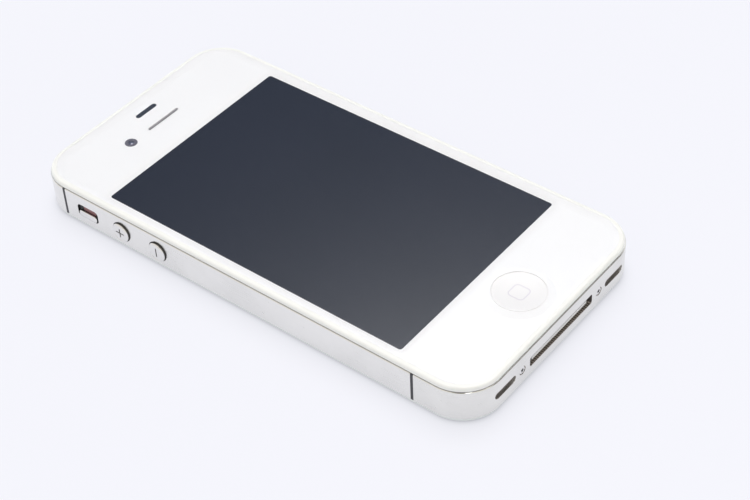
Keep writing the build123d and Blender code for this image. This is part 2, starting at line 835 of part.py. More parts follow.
mesh_depth = 0.85
with BuildPart() as bottom_meshes:
    for x in (-port_slot_x, port_slot_x):
        plane = Plane((x, -half_length + mesh_depth, side_z), x_dir=(1, 0, 0), z_dir=(0, -1, 0))
        add(mesh_plate(plane, port_slot_length, port_slot_height, 0.12, 0.42, 0.14))
save(bottom_meshes, "bottom_meshes")

earpiece_mesh_z = front_glass_low + 0.35
with BuildPart() as earpiece_mesh:
    plane = Plane((0, earpiece_y, earpiece_mesh_z))
    add(mesh_plate(plane, earpiece_length, earpiece_height, 0.12, 0.36, 0.12))
save(earpiece_mesh, "earpiece_mesh")

speaker_low = (15.4, -inner_y, 1.5)
speaker_high = (27.4, -43.6, 5.8)
speaker_wall = 0.8
speaker_x = 20.8
speaker_y = -49.0
duct_half_width = 2.4
duct_half_height = 0.5
with BuildPart() as speaker_box:
    block(speaker_low, speaker_high)
    with BuildSketch():
        outline(band_wall + 0.1)
    extrude(amount=body_thickness, mode=Mode.INTERSECT)
    with BuildSketch(Plane.XY.offset(speaker_low[2] + speaker_wall)):
        with Locations((speaker_x, speaker_y)):
            RectangleRounded(8.6, 8.6, 1.5)
    extrude(amount=speaker_high[2] - speaker_low[2] - speaker_wall, mode=Mode.SUBTRACT)
    # the sound duct runs to the slot in the band
    duct_low = (port_slot_x - duct_half_width, -inner_y - 1, side_z - duct_half_height)
    duct_high = (port_slot_x + duct_half_width, -53.0, side_z + duct_half_height)
    block(duct_low, duct_high, mode=Mode.SUBTRACT)
save(speaker_box, "speaker_box")

with BuildPart() as speaker_driver:
    with BuildSketch(Plane.XY.offset(speaker_low[2] + speaker_wall)):
        with Locations((speaker_x, speaker_y)):
            RectangleRounded(8.4, 8.4, 1.4)
    extrude(amount=1.5)
    with BuildSketch(Plane.XY.offset(speaker_low[2] + speaker_wall + 1.5)):
        with Locations((speaker_x, speaker_y)):
            Circle(3.6)
    extrude(amount=0.6, taper=40)
save(speaker_driver, "speaker_driver")

with BuildPart() as microphones:
    block((-port_slot_x - 1.9, -inner_y + 0.1, 3.6), (-port_slot_x + 1.9, -53.4, 5.0))
    block((top_microphone_x - 1.3, inner_y - 2.7, 3.7), (top_microphone_x + 1.3, inner_y - 0.1, 5.0))
save(microphones, "microphones")

# ======== Headphone socket ========

jack_mouth_y = half_length - jack_recess
jack_shoulder_y = inner_y - running_gap
spring_rows = (45.0, 48.2, 51.4)
pocket_floor = jack_bore_radius + 0.3
with BuildPart() as headphone_jack:
    block(
        (jack_x - jack_body_half, jack_low_y, side_z - jack_body_half),
        (jack_x + jack_body_half, jack_shoulder_y, side_z + jack_body_half),
    )
    fillet(headphone_jack.edges().filter_by(Axis.Y), 0.8)
    with BuildSketch(end_face(jack_mouth_y)):
        with Locations((jack_x, side_z)):
            Circle(jack_nose_radius - 0.02)
    extrude(amount=jack_mouth_y - jack_shoulder_y)
    with BuildSketch(end_face(jack_mouth_y)):
        with Locations((jack_x, side_z)):
            Circle(jack_bore_radius)
    extrude(amount=jack_bore_length, mode=Mode.SUBTRACT)
    # pockets in the outer walls hold the contact springs
    for y in spring_rows:
        for side in (-1, 1):
            low_x = jack_x + min(side * pocket_floor, side * jack_body_half)
            high_x = jack_x + max(side * pocket_floor, side * jack_body_half)
            block((low_x, y, side_z - 0.6), (high_x, y + 2.2, side_z + 0.6), mode=Mode.SUBTRACT)
save(headphone_jack, "headphone_jack")

with BuildPart() as jack_contacts:
    for y in spring_rows:
        for side in (-1, 1):
            with Locations((jack_x + side * (pocket_floor + 0.15), y + 1.1, side_z)):
                Box(0.2, 2.0, 0.9)
save(jack_contacts, "jack_contacts")

# ======== Earpiece, cameras, sensor, flash and vibrator ========

with BuildPart() as earpiece_speaker:
    block((-5.6, 44.9, 5.6), (5.6, 49.3, front_glass_low))
    fillet(earpiece_speaker.edges().filter_by(Axis.Z), 1.0)
    with BuildSketch(Plane.XY.offset(front_glass_low - 0.6)):
        with Locations((0, earpiece_y)):
            SlotOverall(earpiece_length - 0.6, earpiece_height + 0.6)
    extrude(amount=0.6, mode=Mode.SUBTRACT)
save(earpiece_speaker, "earpiece_speaker")

front_camera_half = 2.9
front_camera_low = 4.3
front_camera_step = 6.9
with BuildPart() as front_camera:
    block(
        (front_camera_x - front_camera_half, front_camera_y - front_camera_half, front_camera_low),
        (front_camera_x + front_camera_half, front_camera_y + front_camera_half, front_camera_step),
    )
    with BuildSketch(Plane.XY.offset(front_camera_step)):
        with Locations((front_camera_x, front_camera_y)):
            Circle(2.2)
    extrude(amount=front_glass_low - front_camera_step)
    with BuildSketch(Plane.XY.offset(front_glass_low - 0.7)):
        with Locations((front_camera_x, front_camera_y)):
            Circle(1.0)
    extrude(amount=0.7, mode=Mode.SUBTRACT)
save(front_camera, "front_camera")

with BuildPart() as proximity_sensor:
    block((-3.2, proximity_y - 1.2, 7.3), (3.2, proximity_y + 1.2, front_glass_low))
save(proximity_sensor, "proximity_sensor")

camera_half = 4.5
camera_low = 1.25
barrel_radius = 2.9
barrel_low = 1.7
barrel_high = 4.2
with BuildPart() as rear_camera:
    block(
        (rear_camera_x - camera_half, rear_camera_y - camera_half, camera_low),
        (rear_camera_x + camera_half, rear_camera_y + camera_half, mid_plate_low),
    )
    with BuildSketch(Plane.XY.offset(camera_low)):
        with Locations((rear_camera_x, rear_camera_y)):
            Circle(barrel_radius + running_gap)
    extrude(amount=barrel_high + 0.2 - camera_low, mode=Mode.SUBTRACT)
save(rear_camera, "rear_camera")

# The barrel moves towards the back window to focus near.
with BuildPart() as focus_barrel:
    with BuildSketch(Plane.XY.offset(barrel_low)):
        with Locations((rear_camera_x, rear_camera_y)):
            Circle(barrel_radius)
    extrude(amount=barrel_high - barrel_low)
    with BuildSketch(Plane.XY.offset(barrel_low)):
        with Locations((rear_camera_x, rear_camera_y)):
            Circle(1.9)
    extrude(amount=0.5, taper=30, mode=Mode.SUBTRACT)
    with BuildSketch(Plane.XY.offset(barrel_low + 0.5)):
        with Locations((rear_camera_x, rear_camera_y)):
            Circle(1.1)
    extrude(amount=0.4, mode=Mode.SUBTRACT)
save(focus_barrel, "focus_barrel")

with BuildPart() as flash_led:
    block(
        (flash_x - 1.5, rear_camera_y - 1.9, rear_glass_high),
        (flash_x + 1.5, rear_camera_y + 0.3, board_low),
    )
save(flash_led, "flash_led")

motor_y = 52.4
motor_z = 3.8
motor_radius = 2.1
shaft_radius = 0.35
motor_end_x = 2.0
with BuildPart() as vibration_motor:
    with BuildSketch(side_face(-6.0)):
        with Locations((motor_y, motor_z)):
            Circle(motor_radius)
    extrude(amount=motor_end_x + 6.0)
    block((-6.0, motor_y - 1.4, motor_z - motor_radius - 0.2), (motor_end_x, motor_y + 1.4, motor_z))
    with BuildSketch(side_face(-1.0)):
        with Locations((motor_y, motor_z)):
            Circle(shaft_radius + running_gap)
    extrude(amount=motor_end_x + 1.0, mode=Mode.SUBTRACT)
save(vibration_motor, "vibration_motor")

weight_radius = 1.9
with BuildPart() as eccentric_weight:
    with BuildSketch(side_face(-0.8)):
        with Locations((motor_y, motor_z)):
            Circle(shaft_radius)
    extrude(amount=6.6)
    with BuildSketch(side_face(motor_end_x + 0.4)):
        with Locations((motor_y, motor_z)):
            Circle(weight_radius)
        with Locations((motor_y, motor_z + weight_radius + 0.5)):
            Rectangle(2 * weight_radius + 1, 2 * weight_radius, mode=Mode.SUBTRACT)
        with Locations((motor_y, motor_z)):
            Circle(0.8)
    extrude(amount=3.2)
save(eccentric_weight, "eccentric_weight")
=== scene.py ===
"""A white smartphone lying on its back: the looks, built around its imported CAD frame.

Lengths in this script are millimetres, and are turned into metres where meshes are made.
"""

import json
import math

import bmesh
import bpy
from mathutils import Matrix, Vector


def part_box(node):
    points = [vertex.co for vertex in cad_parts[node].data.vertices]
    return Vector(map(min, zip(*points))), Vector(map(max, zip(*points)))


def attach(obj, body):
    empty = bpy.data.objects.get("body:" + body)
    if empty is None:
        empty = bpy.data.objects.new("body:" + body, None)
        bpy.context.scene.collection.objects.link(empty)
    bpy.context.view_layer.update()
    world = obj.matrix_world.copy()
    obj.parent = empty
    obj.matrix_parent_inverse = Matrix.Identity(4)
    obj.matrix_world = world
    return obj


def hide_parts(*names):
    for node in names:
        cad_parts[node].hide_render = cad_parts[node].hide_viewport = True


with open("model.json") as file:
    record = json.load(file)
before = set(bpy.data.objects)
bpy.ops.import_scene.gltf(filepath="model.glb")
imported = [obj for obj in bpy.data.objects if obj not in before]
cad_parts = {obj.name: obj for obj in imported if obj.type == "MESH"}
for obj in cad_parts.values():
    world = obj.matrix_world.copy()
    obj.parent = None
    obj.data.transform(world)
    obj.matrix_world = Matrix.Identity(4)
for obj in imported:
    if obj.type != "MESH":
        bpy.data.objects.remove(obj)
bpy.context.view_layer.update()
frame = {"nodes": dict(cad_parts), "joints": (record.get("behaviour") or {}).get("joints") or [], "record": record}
scene = bpy.context.scene

MM = 0.001


# ======== Places taken from the frame ========


def corners(node):
    """The lowest and highest corner of a CAD node, in millimetres."""
    low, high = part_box(node)
    return Vector(low) / MM, Vector(high) / MM


def middle(node):
    """The centre of a CAD node, in millimetres."""
    low, high = corners(node)
    return (low + high) / 2


left_low, left_high = corners("band_left")
top_low, top_high = corners("band_top")
bottom_high = corners("band_bottom")[1]
half_width = -left_low.x
half_length = top_high.y
band_low = left_low.z
band_high = left_high.z
wall = left_high.x - left_low.x
inner_x = half_width - wall
inner_y = half_length - wall
corner_radius = 8.8
band_chamfer = 0.14

front_bezel_high = corners("front_bezel")[1]
rear_bezel_low, rear_bezel_high = corners("rear_bezel")
bezel_inset = half_width - front_bezel_high.x
bezel_round = 0.6
glass_low, glass_high = corners("front_glass")
back_low, back_high = corners("rear_glass")
glass_inset = half_width - glass_high.x
glass_edge = 0.1  # radius round a glass's outer edge
ink_depth = 0.65  # from a glass face to the white ink under it
rim_depth = 0.16  # at its edges the ink comes up to this far under the face
rim_width = 0.07
rim_slope = 1.6  # how far inwards the ink runs down from that rim
hair = 0.01  # keeps neighbouring pieces apart

side_z = middle("volume_up_button").z
home_y = middle("home_button").y
ear_low, ear_high = corners("earpiece_mesh")
ear_size = (ear_high.x - ear_low.x, 0.5)  # the slot in the ink, narrower than the mesh
front_camera = middle("front_camera")
sensor = middle("proximity_sensor")
rear_camera = middle("camera_ring")
flash = middle("flash_window")
jack = middle("headphone_jack")
power = middle("power_button")
mute = middle("mute_lever")
screws = corners("bottom_screws")
meshes = corners("bottom_meshes")
screen_centre_y = -0.1
screen_size = (51.6, 76.4)
screen_corner = 0.6


# ======== Outlines ========


def arc(u, v, radius, start, end, steps):
    """The points of an arc about (u, v), with its angles in degrees."""
    turn = math.radians(end - start)
    first = math.radians(start)
    angles = [first + turn * k / steps for k in range(steps + 1)]
    return [(u + radius * math.cos(a), v + radius * math.sin(a)) for a in angles]


def rounded(width, height, radius, steps=8, centre=(0, 0)):
    """A rounded rectangle, as a function of how far it is drawn in."""
    u, v = centre

    def outline(inset):
        r = max(radius - inset, 0.01)
        x = max(width / 2 - inset - r, 0)
        y = max(height / 2 - inset - r, 0)
        return (
            arc(u + x, v + y, r, 0, 90, steps)
            + arc(u - x, v + y, r, 90, 180, steps)
            + arc(u - x, v - y, r, 180, 270, steps)
            + arc(u + x, v - y, r, 270, 360, steps)
        )

    return outline


def stadium(length, height, steps=10, centre=(0, 0)):
    """An oblong with round ends."""
    return rounded(length, height, height / 2, steps, centre)


def circle(radius, steps=16, centre=(0, 0)):
    """A circle with this many steps in each quarter."""
    return rounded(2 * radius, 2 * radius, radius, steps, centre)


phone = rounded(2 * half_width, 2 * half_length, corner_radius, steps=28)


def end_run(end, edge_y):
    """The U-shaped run of the band round one end, as a function of how far it is drawn in."""

    def run(inset):
        r = corner_radius - inset
        x = half_width - corner_radius
        y = half_length - corner_radius
        start = math.degrees(math.asin(max(edge_y - y, 0) / r))
        points = arc(x, y, r, start, 90, 28) + arc(-x, y, r, 90, 180 - start, 28)
        if edge_y < y:
            points = [(half_width - inset, edge_y)] + points + [(inset - half_width, edge_y)]
        return [(u, end * v) for u, v in points]

    return run


def side_run(side):
    """The straight run of the band along one side."""

    def run(inset):
        x = side * (half_width - inset)
        return [(x, left_low.y), (x, left_high.y)]

    return run


def rounded_step(inset, height, radius, steps):
    """Steps of a loft that round its edge over, from the side wall to the face at this height."""
    turns = [math.pi / 2 * k / steps for k in range(steps + 1)]
    return [
        (inset + radius * (1 - math.cos(t)), height - radius * (1 - math.sin(t))) for t in turns
    ]


# ======== Meshes ========

X = Vector((1, 0, 0))
Y = Vector((0, 1, 0))
Z = Vector((0, 0, 1))
# Each side's outline is drawn along its first two axes and stands up along the third.
SIDES = {
    "front": (X, Y, Z),
    "back": (X, Y, -Z),
    "left": (Y, Z, -X),
    "right": (Y, Z, X),
    "top": (X, Z, Y),
    "bottom": (X, Z, -Y),
}


# Faces keep one of these until dress() swaps them for the piece's own materials.
undercoats = [bpy.data.materials.new(f"undercoat_{k}") for k in range(3)]


def make(name, vertices, faces, paints):
    """An object from millimetre points; its faces are turned outwards and doubled points joined."""
    mesh = bpy.data.meshes.new(name)
    for undercoat in undercoats:
        mesh.materials.append(undercoat)
    mesh.from_pydata([tuple(point * MM) for point in vertices], [], faces)
    mesh.polygons.foreach_set("material_index", paints)
    work = bmesh.new()
    work.from_mesh(mesh)
    bmesh.ops.remove_doubles(work, verts=work.verts, dist=2e-7)
    bmesh.ops.recalc_face_normals(work, faces=work.faces)
    work.to_mesh(mesh)
    work.free()
    obj = bpy.data.objects.new(name, mesh)
    scene.collection.objects.link(obj)
    return obj


def sweep(name, outline, section, side="front", ends=None, paints=None):
    """Carries a section's (inset, height) corners round an outline.

    With ends "faces" the section is open and both faces of the solid are filled; with "cuts" the
    outline is open and both its ends are filled; with None both are closed, as in a ring.
    """
    across, along, out = SIDES[side]
    rows = []
    for inset, height in section:
        rows.append([across * u + along * v + out * height for u, v in outline(inset)])
    count = len(rows[0])
    vertices = [point for row in rows for point in row]
    paints = paints or [0] * len(section)
    faces = []
    indices = []
    row_steps = len(rows) - 1 if ends == "faces" else len(rows)
    point_steps = count - 1 if ends == "cuts" else count
    for j in range(row_steps):
        a = j * count
        b = (j + 1) % len(rows) * count
        for k in range(point_steps):
            n = (k + 1) % count
            faces.append((a + k, a + n, b + n, b + k))
            indices.append(paints[j])
    if ends == "faces":
        last = (len(rows) - 1) * count
        faces.append(tuple(range(count)))
        faces.append(tuple(range(last, last + count)))
        indices += [paints[0], paints[-1]]
    if ends == "cuts":
        faces.append(tuple(j * count for j in range(len(rows))))
        faces.append(tuple(j * count + count - 1 for j in range(len(rows))))
        indices += [0, 0]
    return make(name, vertices, faces, indices)


def loft(name, outline, section, side="front", paints=None):
    """A solid that follows one outline from its first step to its last."""
    return sweep(name, outline, section, side, "faces", paints)


def plug(outline, low, high, side="front", paint_index=0):
    """A plain solid to cut with or to add; a cut's new faces keep the tool's paint."""
    return loft("tool", outline, [(0, low), (0, high)], side, [paint_index] * 2)


def settle(obj):
    """Applies the object's modifiers."""
    graph = bpy.context.evaluated_depsgraph_get()
    mesh = bpy.data.meshes.new_from_object(obj.evaluated_get(graph))
    mesh.name = obj.name
    old = obj.data
    obj.modifiers.clear()
    obj.data = mesh
    bpy.data.meshes.remove(old)


def combine(obj, tools, operation="DIFFERENCE"):
    """Cuts the tools out of the object, or joins them to it, and removes them."""
    for tool in tools:
        modifier = obj.modifiers.new("combine", "BOOLEAN")
        modifier.operation = operation
        modifier.solver = "EXACT"
        modifier.object = tool
    settle(obj)
    for tool in tools:
        mesh = tool.data
        bpy.data.objects.remove(tool)
        bpy.data.meshes.remove(mesh)


def smooth(obj, edge, sharp):
    """Breaks sharp edges by a hair and shades the faces so that flats stay flat."""
    if edge:
        modifier = obj.modifiers.new("edge", "BEVEL")
        modifier.width = edge * MM
        modifier.segments = 2
        modifier.limit_method = "ANGLE"
        modifier.angle_limit = math.radians(30)
        modifier.miter_outer = "MITER_ARC"
        settle(obj)
    obj.data.polygons.foreach_set("use_smooth", [True] * len(obj.data.polygons))
    obj.data.set_sharp_from_angle(angle=math.radians(sharp))
    modifier = obj.modifiers.new("normals", "WEIGHTED_NORMAL")
    modifier.keep_sharp = True
    settle(obj)


# ======== Materials ========


def srgb(red, green, blue):
    """A display colour, 0 to 255, as linear light."""
    values = []
    for c in (red, green, blue):
        c /= 255
        values.append(c / 12.92 if c <= 0.04045 else ((c + 0.055) / 1.055) ** 2.4)
    return (*values, 1)


def tinted(colour, factor, lift=0.0):
    """The linear colour made darker or lighter."""
    return (*(min(c * factor + lift, 1) for c in colour[:3]), 1)


def add_node(tree, kind, inputs=None, **properties):
    """Adds a shader node to the tree, with its inputs linked or set, by name or number."""
    node = tree.nodes.new("ShaderNode" + kind)
    for key, value in properties.items():
        setattr(node, key, value)
    for key, value in (inputs or {}).items():
        if isinstance(value, bpy.types.NodeSocket):
            tree.links.new(value, node.inputs[key])
        else:
            node.inputs[key].default_value = value
    return node


class Finish:
    """A node material under construction. Its grain is measured in the row frame, in metres."""

    def __init__(self, name):
        self.material = bpy.data.materials.new(name)
        self.material.use_nodes = True
        self.tree = self.material.node_tree
        self.tree.nodes.clear()
        self.place = self.node("TexCoord").outputs["Object"]

    def node(self, kind, inputs=None, **properties):
        return add_node(self.tree, kind, inputs, **properties)

    def math(self, operation, a, b=0.0):
        return self.node("Math", {0: a, 1: b}, operation=operation).outputs[0]

    def times(self, a, b):
        return self.math("MULTIPLY", a, b)

    def noise(self, scale, detail, roughness=0.55):
        """Noise from 0 to 1; scale is a number or one per axis, in cycles per metre."""
        if not isinstance(scale, tuple):
            scale = (scale,) * 3
        stretched = self.node("Mapping", {"Vector": self.place, "Scale": scale})
        inputs = {"Vector": stretched.outputs[0], "Scale": 1.0}
        inputs |= {"Detail": detail, "Roughness": roughness}
        return self.node("TexNoise", inputs).outputs[0]

    def span(self, value, low, high, to_low=0.0, to_high=1.0):
        """Maps low..high onto to_low..to_high, and stops at both ends."""
        inputs = {0: value, 1: low, 2: high, 3: to_low, 4: to_high}
        return self.node("MapRange", inputs).outputs[0]

    def spread(self, scale, detail, low=0.0, high=1.0):
        """Noise whose middle part is spread from low to high."""
        return self.span(self.noise(scale, detail), 0.3, 0.7, low, high)

    def mix(self, share, a, b):
        """A colour between a and b."""
        return self.node("Mix", {0: share, 6: a, 7: b}, data_type="RGBA").outputs[2]

    def bump(self, height, distance, strength):
        """A bumped normal; height 0 to 1 stands for this distance in millimetres."""
        inputs = {"Height": height, "Distance": distance * MM, "Strength": strength}
        return self.node("Bump", inputs).outputs[0]

    def smudge(self):
        """The roughness of polished glass with faint finger smudges."""
        return self.span(self.noise(55, detail=5, roughness=0.6), 0.5, 0.8, 0.02, 0.09)

    def edges(self, radius):
        """1 on edges of about this radius in millimetres, 0 on flats."""
        bevel = self.node("Bevel", {"Radius": radius * MM}, samples=6).outputs[0]
        normal = self.node("NewGeometry").outputs["Normal"]
        facing = self.node("VectorMath", {0: bevel, 1: normal}, operation="DOT_PRODUCT")
        return self.span(facing.outputs["Value"], 0.995, 0.85)

    def outside(self, half_x, half_y, radius):
        """Distance outside a rounded rectangle round the origin, in millimetres."""
        axes = self.node("SeparateXYZ", {0: self.place}).outputs
        reach = []
        for axis, half in (("X", half_x), ("Y", half_y)):
            out = self.math("SUBTRACT", self.math("ABSOLUTE", axes[axis]), (half - radius) * MM)
            reach.append(self.times(self.math("MAXIMUM", out, 0.0), 1 / MM))
        corner = self.node("CombineXYZ", {0: reach[0], 1: reach[1]}).outputs[0]
        length = self.node("VectorMath", {0: corner}, operation="LENGTH").outputs["Value"]
        return self.math("SUBTRACT", length, radius)

    def by_screen(self, reach):
        """1 over the screen, fading to 0 this far outside it, and 0 on the phone's back."""
        away = self.outside(screen_size[0] / 2, screen_size[1] / 2, 1.0)
        height = self.node("SeparateXYZ", {0: self.place}).outputs["Z"]
        front = self.span(height, 4 * MM, 5 * MM)
        return self.times(self.span(away, reach * 0.4, reach, 1.0, 0.0), front)

    def done(self, shader):
        self.node("OutputMaterial", {"Surface": shader})
        return self.material

    def principled(self, **inputs):
        """Ends with the standard shader; an underscore stands for a space in an input's name."""
        named = {key.replace("_", " "): value for key, value in inputs.items()}
        return self.done(self.node("BsdfPrincipled", named).outputs[0])


def metal(name, colour, roughness, brushed=0.0, scratches=0.15, worn=0.1):
    """Bare metal: brush lines along the band, fine scratches, faint smudges and rubbed edges."""
    f = Finish(name)
    lines = f.noise((30, 30, 5200), detail=4)
    grain = f.noise(2600, detail=4)
    smudge = f.noise(90, detail=4, roughness=0.6)
    scratch_a = f.span(f.noise((900, 60, 1400), detail=1), 0.72, 0.78)
    scratch_b = f.span(f.noise((60, 1300, 500), detail=1), 0.73, 0.79)
    scratched = f.times(f.math("ADD", scratch_a, scratch_b), scratches)
    base = f.mix(f.span(smudge, 0.35, 0.7), colour, tinted(colour, 0.93))
    base = f.mix(f.times(f.edges(0.12), worn), base, tinted(colour, 1.06))
    rough = f.span(lines, 0.3, 0.7, roughness - brushed * 0.3, roughness + brushed * 0.3)
    rough = f.math("ADD", rough, f.span(smudge, 0.45, 0.75, 0, 0.05))
    rough = f.math("ADD", rough, f.times(scratched, 0.25))
    height = f.math("ADD", f.times(lines, brushed), f.times(grain, 0.12))
    height = f.math("SUBTRACT", height, f.times(scratched, 0.5))
    normal = f.node("NewGeometry").outputs["Normal"]
    tangent = f.node("VectorMath", {0: normal, 1: (0, 0, 1)}, operation="CROSS_PRODUCT")
    return f.principled(
        Base_Color=base,
        Metallic=1.0,
        Roughness=rough,
        Anisotropic=0.5 if brushed else 0.0,
        Tangent=tangent.outputs[0],
        Normal=f.bump(height, 0.012, 0.5),
    )


def plastic(name, colour, roughness, vary=0.04, texture=0.02, coat=0.0, worn=0.15):
    """Moulded plastic or paint: slight clouding, a fine moulded texture and paler worn edges."""
    f = Finish(name)
    cloud = f.noise(140, detail=4)
    grain = f.noise(7000, detail=3)
    handling = f.noise(260, detail=5, roughness=0.65)
    base = f.mix(f.span(cloud, 0.35, 0.65), colour, tinted(colour, 1 - vary))
    base = f.mix(f.times(f.edges(0.15), worn), base, tinted(colour, 1.15, 0.02))
    rough = f.span(handling, 0.35, 0.7, roughness * 0.85, roughness * 1.15)
    return f.principled(
        Base_Color=base,
        Roughness=rough,
        Coat_Weight=coat,
        Coat_Roughness=0.08,
        IOR=1.48,
        Normal=f.bump(grain, texture, 0.6),
    )


def clear_glass():
    """Cover glass: clear straight through, with the sky's reflection, faint smudges and dust.

    Over the screen the reflection is left to the display's own surface, bonded to the glass.
    """
    f = Finish("clear_glass")
    geometry = f.node("NewGeometry").outputs
    outside = f.math("SUBTRACT", 1.0, geometry["Backfacing"])
    fresnel = f.node("Fresnel", {"IOR": 1.5}).outputs[0]
    glossy = f.node("BsdfAnisotropic", {"Color": (1, 1, 1, 1), "Roughness": f.smudge()})
    clear = f.node("BsdfTransparent", {"Color": (0.985, 0.99, 0.995, 1)})
    mirror = f.math("SUBTRACT", 1.0, f.by_screen(2.0))
    share = f.times(f.times(fresnel, outside), mirror)
    glass = f.node("MixShader", {0: share, 1: clear.outputs[0], 2: glossy.outputs[0]})
    cells = f.node("TexVoronoi", {"Vector": f.place, "Scale": 260.0})
    speck = f.span(cells.outputs["Distance"], 0.03, 0.022)
    chosen = f.span(f.noise(37, detail=1), 0.60, 0.62)
    speck = f.times(f.times(speck, chosen), 0.2)
    dust = f.node("BsdfDiffuse", {"Color": (0.75, 0.76, 0.78, 1)})
    dusty = f.node("MixShader", {0: speck, 1: glass.outputs[0], 2: dust.outputs[0]})
    return f.done(dusty.outputs[0])


def white_glass():
    """White ink as seen through its glass: a bright even white, a touch cooler in depth."""
    f = Finish("white_glass")
    base = f.mix(f.spread(70, 2), (0.925, 0.925, 0.94, 1), (0.915, 0.915, 0.93, 1))
    # painted shade: the white beside the screen is made a little darker, standing for the light the screen's dark
    # frame takes out of it
    base = f.mix(f.times(f.by_screen(2.2), 0.06), base, (0.0, 0.0, 0.0, 1))
    stipple = f.noise(9000, detail=2)
    return f.principled(
        Base_Color=base,
        Roughness=f.span(stipple, 0.3, 0.7, 0.35, 0.5),
        Specular_IOR_Level=0.0,
        Normal=f.bump(stipple, 0.004, 0.3),
    )


def dark_glass():
    """The unlit display, bonded to the glass: near black, cold, under the glass's reflection."""
    f = Finish("dark_glass")
    base = f.mix(f.spread(45, 3), (0.0035, 0.0055, 0.015, 1), (0.005, 0.007, 0.018, 1))
    return f.principled(Base_Color=base, Roughness=f.smudge(), IOR=1.5)


def camera_glass():
    """Coated lens glass: nearly black, with a painted violet to green sheen in its base colour that turns with the
    angle.
    """
    f = Finish("camera_glass")
    facing = f.node("LayerWeight", {"Blend": 0.35}).outputs["Facing"]
    sheen = f.mix(facing, srgb(38, 30, 66), srgb(24, 46, 40))
    return f.principled(
        Base_Color=sheen,
        Roughness=f.spread(900, 2, 0.03, 0.07),
        IOR=1.6,
        Specular_Tint=(0.86, 0.8, 1.0, 1),
        Coat_Weight=1.0,
        Coat_Roughness=0.02,
    )


def flash_plastic():
    """The flash diffuser: pale yellow phosphor seen through a clear ribbed lens."""
    f = Finish("flash_plastic")
    base = f.mix(f.spread(2600, 3), srgb(250, 240, 170), srgb(232, 214, 120))
    return f.principled(
        Base_Color=base, Roughness=0.2, Coat_Weight=1.0, Coat_Roughness=0.05, IOR=1.5
    )


def board_laminate():
    """Lacquered laminate with the lighter tracks of its copper showing through."""
    f = Finish("board_laminate")
    tracks = f.node(
        "TexBrick",
        {"Vector": f.place, "Scale": 420.0, "Mortar Size": 0.03, "Color1": srgb(12, 52, 66)},
    )
    tracks.inputs["Color2"].default_value = srgb(16, 60, 74)
    tracks.inputs["Mortar"].default_value = srgb(40, 96, 104)
    return f.principled(
        Base_Color=tracks.outputs["Color"],
        Roughness=f.spread(4000, 2, 0.28, 0.42),
        Coat_Weight=0.6,
        Coat_Roughness=0.15,
        Normal=f.bump(tracks.outputs["Fac"], 0.02, 0.5),
    )


def battery_foil():
    """Black film stuck over foil, with shallow creases."""
    f = Finish("battery_foil")
    crease = f.noise((60, 220, 60), detail=5, roughness=0.6)
    # painted shade: the film is darker in the low parts of its creases and lighter on their ridges
    base = f.mix(f.span(crease, 0.4, 0.7), srgb(30, 30, 33), srgb(44, 44, 48))
    return f.principled(
        Base_Color=base,
        Metallic=0.3,
        Roughness=f.spread(3000, 3, 0.3, 0.5),
        Normal=f.bump(crease, 0.15, 0.5),
    )


def flex_film():
    """Amber film with the straight copper lines of a flex cable."""
    f = Finish("flex_film")
    lines = f.node("TexWave", {"Vector": f.place, "Scale": 380.0}, bands_direction="X")
    base = f.mix(f.span(lines.outputs["Fac"], 0.4, 0.6), srgb(168, 96, 30), srgb(122, 62, 20))
    return f.principled(
        Base_Color=base,
        Roughness=f.spread(800, 3, 0.25, 0.4),
        Coat_Weight=0.5,
        Normal=f.bump(lines.outputs["Fac"], 0.01, 0.6),
    )


def mesh_metal(name, shaded_gap, wire):
    """Woven wire: two crossing rows of wires, with dust between them; the openings between the wires are painted
    dark as shade.
    """
    f = Finish(name)
    rows = []
    for direction in ("X", "DIAGONAL"):
        wave = f.node("TexWave", {"Vector": f.place, "Scale": 3600.0}, bands_direction=direction)
        rows.append(wave.outputs["Fac"])
    weave = f.math("MAXIMUM", rows[0], rows[1])
    dust = f.noise(1500, detail=4)
    # painted shade: the openings of the weave take the darker colour
    base = f.mix(f.span(weave, 0.3, 0.9), shaded_gap, wire)
    base = f.mix(f.span(dust, 0.5, 0.75, 0, 0.5), base, srgb(140, 132, 124))
    return f.principled(
        Base_Color=base, Metallic=0.7, Roughness=0.42, Normal=f.bump(weave, 0.03, 0.7)
    )


def ribbed_throat():
    """The wall just inside the dock opening: metal with a rib beside each contact, painted darker than the band as
    shade in the opening, and darker still between the ribs.
    """
    f = Finish("ribbed_throat")
    ribs = f.node("TexWave", {"Vector": f.place, "Scale": 523.6}, bands_direction="X")
    height = ribs.outputs["Fac"]
    return f.principled(
        Base_Color=f.mix(f.span(height, 0.3, 0.7), srgb(92, 86, 82), srgb(176, 166, 158)),
        Metallic=0.2,
        Roughness=f.spread(2200, 3, 0.5, 0.7),
        Normal=f.bump(height, 0.03, 0.5),
    )


